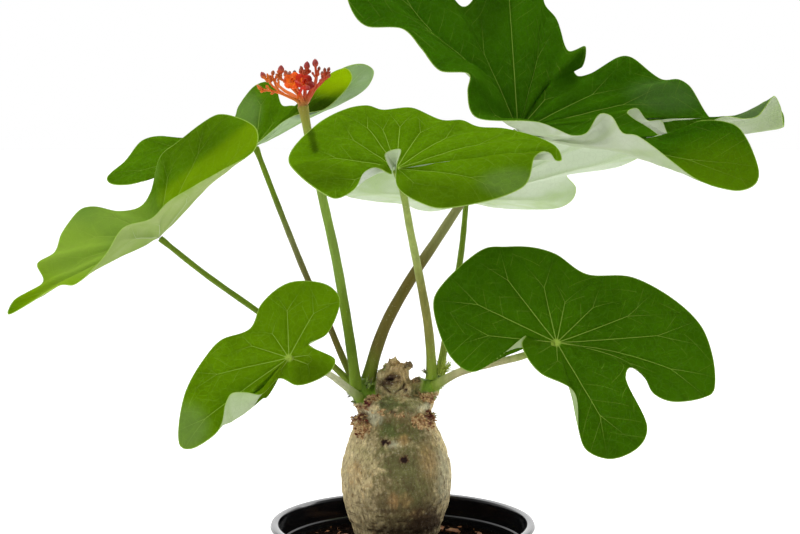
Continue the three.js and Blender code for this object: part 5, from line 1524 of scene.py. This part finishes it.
class JATROPHA_OT_stalks(bpy.types.Operator):
    """Draws the leafstalks and the flower's stalk, swollen at the foot, with skin that changes colour"""

    bl_idname = "jatropha.stalks"
    bl_label = "Leafstalks and flower stalk"

    def execute(self, context):
        material = stalk_finish()
        for name, stalk in STALKS.items():
            slot = "flower_stalk" if name == "flower_stalk" else "leafstalk"
            finished(self.stalk(name, *stalk), material, slot, name)
        return {"FINISHED"}

    def stalk(self, name, route, radii, skin):
        """One stalk; a leafstalk ends short of its leaf, and the flower's stalk thickens to its end."""
        length = float(np.linalg.norm(np.diff(np.array(route, float), axis=0), axis=1).sum())
        even = taper(*radii)
        short = 0.0 if name == "flower_stalk" else 0.8

        def radius_at(share):
            swelling = STALK_SWELLING * math.exp(-share * length / 5)
            left = (1 - share) * length
            if name == "flower_stalk":
                knuckle = 0.4 * math.exp(-left / 5)
            else:
                knuckle = 0.22 * math.exp(-(((left - 1.5) / 3.0) ** 2))
            return even(share) * (1 + swelling + knuckle)

        def relief(share, angle):
            return 0.05 * math.sin(5 * angle + 3 * share) + 0.04 * math.sin(share * length / 2.7)

        end = Vector(route[-1])
        route = [*route[:-1], end - (end - Vector(route[-2])).normalized() * short]
        rings = max(24, int(length / STALK_RING))
        obj = tube_object(name + "_skin", route, radius_at, STALK_SIDES, rings, relief=relief)
        along = noted(obj, "along")
        stops = np.linspace(0, 1, len(skin))
        tones = np.array(skin)
        note_colour(obj, "skin", np.stack([np.interp(along, stops, tones[:, i]) for i in range(3)], 1))
        return obj


def leaf_rays(leaf):
    """Each ray's end on the margin and the middle that bends it, from the leafstalk's top."""
    ends = np.array([point[:3] for point in leaf["margin"]], float)
    steps = np.linalg.norm(np.roll(ends, -1, 0) - ends, axis=1)
    reach = np.concatenate([[0], np.cumsum(steps)])

    def on_margin(share):
        place = (share % 1) * reach[-1]
        k = min(int(np.searchsorted(reach, place, side="right")) - 1, len(ends) - 1)
        part = (place - reach[k]) / steps[k]
        return ends[k] * (1 - part) + ends[(k + 1) % len(ends)] * part

    middles = []
    for i, point in enumerate(leaf["margin"]):
        if len(point) > 3:
            crest = np.array(point[3], float)
            middles.append((crest - CREST_AT**2 * ends[i]) / (2 * CREST_AT * (1 - CREST_AT)))
            continue
        near = [on_margin(reach[i] / reach[-1] + SPAN * tap) for tap in np.linspace(-1, 1, 9)]
        drawn = ends[i] * (1 - SHARE) + np.mean(near, axis=0) * SHARE
        middles.append(0.5 * drawn + np.array(leaf["crown"]))
    return ends, np.array(middles)


def leaf_ways(ends, ribs, spacing):
    """Where rays run, in margin points: evenly round the margin, with one along each rib."""
    count = len(ends)
    ways = []
    for i in range(count):
        steps = max(1, int(round(np.linalg.norm(ends[(i + 1) % count] - ends[i]) / spacing)))
        ways.extend(i + np.arange(steps) / steps)
    ways = np.array(ways)
    columns = []
    for rib in ribs:
        column = int(np.argmin(np.abs(ways - rib)))
        ways[column] = rib
        columns.append(column)
    return ways, np.array(columns)


class LeafSheet:
    """A blade as a net of points: rings out from the leafstalk's top, and rays round it.

    Reach is the way along its ray to each point, and edge the distance from the margin.
    """

    def __init__(self, leaf, spacing):
        ends, middles = leaf_rays(leaf)
        self.ways, self.ribs = leaf_ways(ends, leaf["ribs"], spacing)
        end = curve_through(ends, self.ways, ends)
        middle = curve_through(middles, self.ways, ends)
        reach = np.linalg.norm(end, axis=1)
        self.rings = int(np.clip(reach.max() / spacing, *LEAF_RINGS))
        out = (np.arange(1, self.rings + 1) / self.rings)[:, None, None]
        self.net = 2 * out * (1 - out) * middle + out**2 * end
        steps = np.diff(np.concatenate([np.zeros((1, *self.net.shape[1:])), self.net]), axis=0)
        self.reach = np.cumsum(np.linalg.norm(steps, axis=2), axis=0)
        self.count = len(self.ways)
        self.aims = self.find_aims()
        self.edge = distances(self.net.reshape(-1, 3), self.net[-1]).reshape(self.net.shape[:2])

    def find_aims(self):
        """The direction in which the upper face looks at each point."""
        outward = np.gradient(self.net, axis=0)
        around = np.roll(self.net, -1, 1) - np.roll(self.net, 1, 1)
        aims = np.cross(outward, around)
        aims /= np.maximum(np.linalg.norm(aims, axis=2), 1e-9)[:, :, None]
        return aims

    def sectors(self):
        """For each gap between two rays, the columns of the ribs before and after it."""
        ribs = self.ribs
        gaps = np.arange(self.count)
        after = np.searchsorted(ribs, gaps, side="right")
        return ribs[(after - 1) % len(ribs)], ribs[after % len(ribs)]


def leaf_faces(sheet):
    """Faces of both sides and of the rim, each with the rib that it lies by and the side of it."""
    rings, count = sheet.rings, sheet.count
    other = 1 + rings * count
    before, after = sheet.sectors()
    faces = []
    owners = []
    for gap in range(count):
        beside = (gap + 1) % count
        first, second = (before[gap], 0), (after[gap], 1)
        spread = np.linalg.norm(sheet.net[:, gap] - sheet.net[:, before[gap]], axis=1)
        spread_other = np.linalg.norm(sheet.net[:, beside] - sheet.net[:, after[gap]], axis=1)
        faces.append((0, 1 + gap, 1 + beside))
        faces.append((other, other + 1 + beside, other + 1 + gap))
        owners += [first, first]
        for ring in range(rings - 1):
            here = 1 + ring * count + gap
            across = 1 + ring * count + beside
            owner = first if spread[ring] <= spread_other[ring] else second
            faces.append((here, here + count, across + count, across))
            faces.append((other + here, other + across, other + across + count, other + here + count))
            owners += [owner, owner]
        here = 1 + (rings - 1) * count + gap
        across = 1 + (rings - 1) * count + beside
        faces.append((here, other + here, other + across, across))
        owners.append(first)
    return faces, owners


def map_veins(obj, sheet, faces, owners, fork_at, start_at):
    """Writes for each corner how far it lies from its rib and along it, and where among the veins."""
    corners = np.array([corner for face in faces for corner in face]) % (1 + sheet.rings * sheet.count)
    ring, column = np.divmod(corners - 1, sheet.count)
    rib, side = np.repeat(owners, [len(face) for face in faces], axis=0).T
    held = np.maximum(ring, 0)
    off = np.linalg.norm(sheet.net[held, column] - sheet.net[held, rib], axis=1)
    off = np.where(ring < 0, 0, off)
    reach = np.where(ring < 0, 0, sheet.reach[held, column])
    forks = np.array([fork_at[r] for r in rib])
    starts = np.array([start_at[r][s] for r, s in zip(rib, side)])
    phase = (reach - VEIN_LEAN * off) / VEIN_SPACING + starts
    for name, rows in (("ribs", (off, reach / forks)), ("net", (phase, reach))):
        layer = obj.data.uv_layers.new(name=name)
        layer.data.foreach_set("uv", np.column_stack(rows).astype(np.float32).ravel())


def mark_leaf(obj, leaf, points):
    """Notes the places of painted light, painted shade and painted sheen, for points from the top of the
    leafstalk.
    """
    kinds = {kind: np.zeros(len(points)) for kind in ("sunny", "shady", "painted_sheen")}
    for kind, spot, half, share in leaf["marks"]:
        near = nearness(points, spot, half)
        kinds[kind] = np.maximum(kinds[kind], share * smoothstep(near, 0.0, 0.6))
    flat = points[:, (0, 2)]
    for kind, start, end, half, share in leaf.get("bands", ()):
        line = np.subtract(end, start)
        part = np.clip((flat - start) @ line / (line @ line), 0, 1)
        off = np.linalg.norm(flat - start - part[:, None] * line, axis=1)
        kinds[kind] = np.maximum(kinds[kind], share * smoothstep(1 - off / half, 0.0, 0.6))
    for kind, share in kinds.items():
        note(obj, kind, share)


def leaf_piece(name, leaf):
    """A finished leaf: both faces, with ribs sunk on top and proud below."""
    sheet = LeafSheet(leaf, sizes().leaf_grid / MM)
    rings, count = sheet.rings, sheet.count
    length = sheet.reach[-1]
    typical = np.mean(length[sheet.ribs])
    draw = draws(LEAF_SEED + len(name) + count)
    fork_at = {}
    start_at = {}
    for column in sheet.ribs:
        longer = np.clip(length[column] / typical - 1, -0.4, 0.5)
        fork_at[column] = length[column] * (FORK_SHARE + 0.3 * longer + 0.08 * (draw() - 0.5))
        start_at[column] = (draw(), draw())

    # Relief, from the nearest rib of each point
    aside = np.full((rings, count), np.inf)
    for column in sheet.ribs:
        off = np.linalg.norm(sheet.net - sheet.net[:, column:column + 1], axis=2)
        aside = np.minimum(aside, off)
    strength = smoothstep(sheet.reach / length, 1.0, 0.35)
    settled = smoothstep(sheet.reach, 1.5, 9.0)
    inland = smoothstep(sheet.edge, 0.0, 7.0)
    groove = np.exp(-((aside / 0.9) ** 2)) * strength
    flat = sheet.net.reshape(-1, 3) + np.array(leaf["centre"])
    waves = rough(flat, 15, 2).reshape(rings, count)
    pillow = 0.55 * (1 - np.exp(-((aside / 4.5) ** 2))) * inland
    lift = settled * (pillow + 0.5 * waves * (0.4 + 0.6 * inland) - 0.3 * groove)
    blade = sizes().blade / MM
    thick = blade * (0.55 + 0.45 * smoothstep(sheet.edge, 0.0, 2.0))
    keel = 0.45 * np.exp(-((aside / 0.75) ** 2)) * strength * settled
    top = sheet.net + sheet.aims * (lift + 0.5 * thick)[:, :, None]
    under = sheet.net + sheet.aims * (lift - 0.5 * thick - keel)[:, :, None]

    centre = np.array(leaf["centre"], float)
    middle_aim = sheet.aims[2].mean(0)
    middle_aim /= np.linalg.norm(middle_aim)
    hub = [0.5 * blade * middle_aim, -0.5 * blade * middle_aim]
    points = np.vstack([hub[0], top.reshape(-1, 3), hub[1], under.reshape(-1, 3)]) + centre
    faces, owners = leaf_faces(sheet)
    obj = mesh_object(name, points, faces)
    map_veins(obj, sheet, faces, owners, fork_at, start_at)
    edge = sheet.edge.ravel()
    note(obj, "edge", np.concatenate([[HUB_EDGE], edge, [HUB_EDGE], edge]))
    note(obj, "under", np.repeat([0.0, 1.0], 1 + rings * count))
    mark_leaf(obj, leaf, points - centre)
    return obj


class JATROPHA_OT_leaves(bpy.types.Operator):
    """Unfolds the seven lobed leaves, each over the top of its leafstalk"""

    bl_idname = "jatropha.leaves"
    bl_label = "Leaves"

    def execute(self, context):
        for name, leaf in LEAVES.items():
            piece = leaf_piece("leaf_" + name + "_blade", leaf)
            material = leaf_finish("leaf_" + name, leaf["fresh"], leaf["back"], leaf["veins"])
            finished(piece, material, "leaf", "leaf_" + name, smooth=65)
        return {"FINISHED"}


def bud_object(foot, tip, size, ripe, tint):
    """A bud on its stalklet: slim from the twig, then an egg at the tip."""
    length = (Vector(tip) - Vector(foot)).length
    start = max(0.1, 1 - 2.7 * size / length)

    def egg_part(share):
        return max(0.0, (share - start) / (1 - start))

    def radius_at(share):
        part = egg_part(share)
        egg = size * max(0.0, math.sin(math.pi * part**0.85)) ** 0.6
        return max((0.42 + 0.12 * size) * (1 - part) ** 0.5, egg, 0.14)

    def relief(share, angle):
        return 0.06 * size * math.sin(5 * angle) * math.sin(math.pi * egg_part(share))

    middle = (Vector(foot) + Vector(tip)) / 2 + Vector((0, 0, -0.06 * length))
    bud = tube_object("bud", [foot, middle, tip], radius_at, 12, 18, relief=relief)
    note_all(bud, tint=tint, ripe=ripe, large=float(size > LARGE_BUD))
    return bud


class JATROPHA_OT_flower_head(bpy.types.Operator):
    """Branches the coral flower head out to its buds"""

    bl_idname = "jatropha.flower_head"
    bl_label = "Flower head"

    def execute(self, context):
        base = Vector(HEAD_BASE)
        draw = draws(BUD_SEED)
        foot = [base - Vector((0, 0, 0.4)), base + Vector((0, 0, 1.2)), base + Vector((0.4, 0, 2.8))]
        parts = [self.bough(foot, (2.7, 2.0), 0.0)]
        for route, thick, thin in BOUGHS:
            tip = Vector(route[-1])
            tint = max(0.0, min(1.0, -tip.x / 14))
            parts.append(self.bough([base + Vector(spot) for spot in route], (thick, thin), tint))
            for _ in range(SMALL_BUDS):
                lean = Vector((draw() - 0.5 + tip.x / 30, draw() - 0.5 + tip.y / 30, 0.45 + 0.5 * draw()))
                end = base + tip + lean.normalized() * (2.6 + 1.6 * draw())
                parts.append(bud_object(base + tip, end, 0.45 + 0.25 * draw(), 0.5 * draw(), tint))
        for start, tip, size, ripe in BUDS:
            tint = max(0.0, min(1.0, -tip[0] / 14 - 0.5 * ripe))
            parts.append(bud_object(base + Vector(start), base + Vector(tip), size, ripe, tint))
        head = joined("flower_head_twigs", parts)
        finished(head, head_finish(), "flower_head", "flower_head")
        return {"FINISHED"}

    def bough(self, route, radii, tint):
        """A twig; it stays at the start of along, so that only the buds have tips."""
        bough = tube_object("bough", route, taper(*radii), 12, 18)
        note_all(bough, tint=tint)
        still = np.zeros(len(bough.data.vertices), np.float32)
        bough.data.attributes["along"].data.foreach_set("value", still)
        return bough


class JATROPHA_OT_open_flowers(bpy.types.Operator):
    """Opens two small flowers of five round petals"""

    bl_idname = "jatropha.open_flowers"
    bl_label = "Open flowers"

    def execute(self, context):
        material = petal_finish()
        for name, flower in OPEN_FLOWERS.items():
            finished(self.flower(name, *flower), material, "petal", name)
        return {"FINISHED"}

    def flower(self, name, foot, heading, petal, ripe):
        """A throat on its own short stalk, with petals and stamens, turned to its heading."""
        turn = Vector((0, 0, 1)).rotation_difference(Vector(heading)).to_matrix()
        parts = [
            tube_object("throat", [(0, 0, 0), (0, 0, 2), (0, 0, 4.2)], taper(0.7, 1.5), 16, 10),
            tube_object("stalklet", [(0, 0, -STALKLET), (0, 0, -3), (0, 0, 1)], taper(0.6, 0.8), 12, 10),
        ]
        for number in range(PETALS):
            parts.append(self.petal(petal, 2 * math.pi * number / PETALS, 3.4 + 0.12 * number))
        for number in range(STAMENS):
            cos, sin = math.cos(2.4 * number), math.sin(2.4 * number)
            route = [(0, 0, 3.4), (0.35 * cos, 0.35 * sin, 5), (0.8 * cos, 0.8 * sin, 6.4)]
            parts.append(tube_object("stamen", route, taper(0.2, 0.3), 8, 6))
        flower = joined(name + "_petals", parts)
        move_to(flower, places(flower) @ np.array(turn).T + foot)
        note_all(flower, ripe=ripe)
        return flower

    def petal(self, length, bearing, height):
        """A round cupped petal: a grid pulled to its outline, then given its thickness."""
        bpy.ops.mesh.primitive_grid_add(x_subdivisions=14, y_subdivisions=12, size=2 * MM)
        petal = added("petal")
        flat = places(petal)
        out = (flat[:, 0] + 1) / 2
        across = flat[:, 1]
        rounded = np.sqrt(np.clip(1 - (2 * out - 1.12) ** 2 / 1.26, 0.02, 1))
        half = length * 0.52 * rounded * np.minimum(1, 0.3 + 1.6 * out)
        x = 0.3 + length * (out - 0.10 * across**2 * out)
        y = across * half
        z = 0.22 * length * (across**2) * out * 0.5 + 0.45 * x * np.sin(out * 1.2) - 0.25 * length * out**3
        z += 0.06 * length * np.sin(3 * across + 2 * out)
        note(petal, "along", out)
        cos, sin = math.cos(bearing), math.sin(bearing)
        turn = np.array([[cos, -sin, 0], [sin, cos, 0], [0, 0, 1]])
        move_to(petal, np.stack([x, y, z], 1) @ turn.T + (0, 0, height))
        use_modifier(petal, "SOLIDIFY", thickness=0.0004, offset=0)
        return petal


class JATROPHA_OT_stage(bpy.types.Operator):
    """Sets the plain pale floor, the soft lights and the camera"""

    bl_idname = "jatropha.stage"
    bl_label = "Floor, lights and camera"

    def execute(self, context):
        bpy.ops.object.select_all(action="DESELECT")
        bpy.ops.mesh.primitive_plane_add(size=sizes().floor)
        floor = added("floor")
        floor.data.materials.append(floor_finish())
        self.sky(context.scene)
        for lamp in LAMPS:
            self.lamp(*lamp)
        place = Vector(CAMERA_PLACE) * MM
        turn = (math.radians(90 - CAMERA_TILT), 0, 0)
        bpy.ops.object.camera_add(location=place, rotation=turn)
        camera = bpy.context.object
        camera.data.lens = CAMERA_LENS
        camera.data.sensor_width = CAMERA_SENSOR
        camera.data.clip_start = CAMERA_NEAR
        context.scene.camera = camera
        context.scene.view_settings.view_transform = "Standard"
        return {"FINISHED"}

    def lamp(self, name, place, target, size, power):
        bpy.ops.object.light_add(type="AREA", location=place)
        lamp = bpy.context.object
        lamp.name = name
        lamp.data.shape = "DISK"
        lamp.data.size = size
        lamp.data.energy = power
        lamp.rotation_euler = (Vector(target) - Vector(place)).to_track_quat("-Z", "Y").to_euler()

    def sky(self, scene):
        """A white studio, brightest behind and above; the camera itself sees plain white."""
        world = bpy.data.worlds.new("studio")
        world.use_nodes = True
        nodes = Nodes(world.node_tree)
        back = nodes.tree.nodes["Background"]
        nodes.put(back.inputs["Color"], (1, 1, 1))
        _, depth, up = nodes.parts(nodes.tree.nodes.new("ShaderNodeTexCoord").outputs["Generated"])
        behind = nodes.span(depth, -0.5, 0.8, 0.28, 1.9)
        above = nodes.span(up, 0.1, 0.9, 0.0, 0.5)
        path = nodes.tree.nodes.new("ShaderNodeLightPath")
        pick = nodes.tree.nodes.new("ShaderNodeMix")
        nodes.put(pick.inputs[0], path.outputs["Is Camera Ray"])
        nodes.put(pick.inputs[2], nodes.maths("ADD", behind, above))
        nodes.put(pick.inputs[3], 1.0)
        nodes.put(back.inputs["Strength"], pick.outputs[0])
        scene.world = world


class JATROPHA_PT_panel(bpy.types.Panel):
    """Lists the plant's pieces, sizes and colours"""

    bl_idname = "JATROPHA_PT_panel"
    bl_label = "Jatropha"
    bl_space_type = "VIEW_3D"
    bl_region_type = "UI"
    bl_category = "Jatropha"

    def draw(self, context):
        layout = self.layout
        for operator in OPERATORS:
            layout.operator(operator.bl_idname)
        for group in (sizes(), colours()):
            box = layout.box()
            for name in group.bl_rna.properties.keys():
                if name not in {"rna_type", "name"}:
                    box.prop(group, name)


OPERATORS = (
    JATROPHA_OT_pot,
    JATROPHA_OT_soil,
    JATROPHA_OT_stem,
    JATROPHA_OT_stipules,
    JATROPHA_OT_stalks,
    JATROPHA_OT_leaves,
    JATROPHA_OT_flower_head,
    JATROPHA_OT_open_flowers,
    JATROPHA_OT_stage,
)
CLASSES = (JatrophaSizes, JatrophaColours, *OPERATORS, JATROPHA_PT_panel)


def register():
    for cls in CLASSES:
        bpy.utils.register_class(cls)
    bpy.types.Scene.jatropha_sizes = PointerProperty(type=JatrophaSizes)
    bpy.types.Scene.jatropha_colours = PointerProperty(type=JatrophaColours)


def unregister():
    del bpy.types.Scene.jatropha_colours
    del bpy.types.Scene.jatropha_sizes
    for cls in reversed(CLASSES):
        bpy.utils.unregister_class(cls)


def main():
    register()
    bpy.ops.jatropha.pot()
    bpy.ops.jatropha.soil()
    bpy.ops.jatropha.stem()
    bpy.ops.jatropha.stipules()
    bpy.ops.jatropha.stalks()
    bpy.ops.jatropha.leaves()
    bpy.ops.jatropha.flower_head()
    bpy.ops.jatropha.open_flowers()
    bpy.ops.jatropha.stage()


if __name__ == "__main__":
    main()
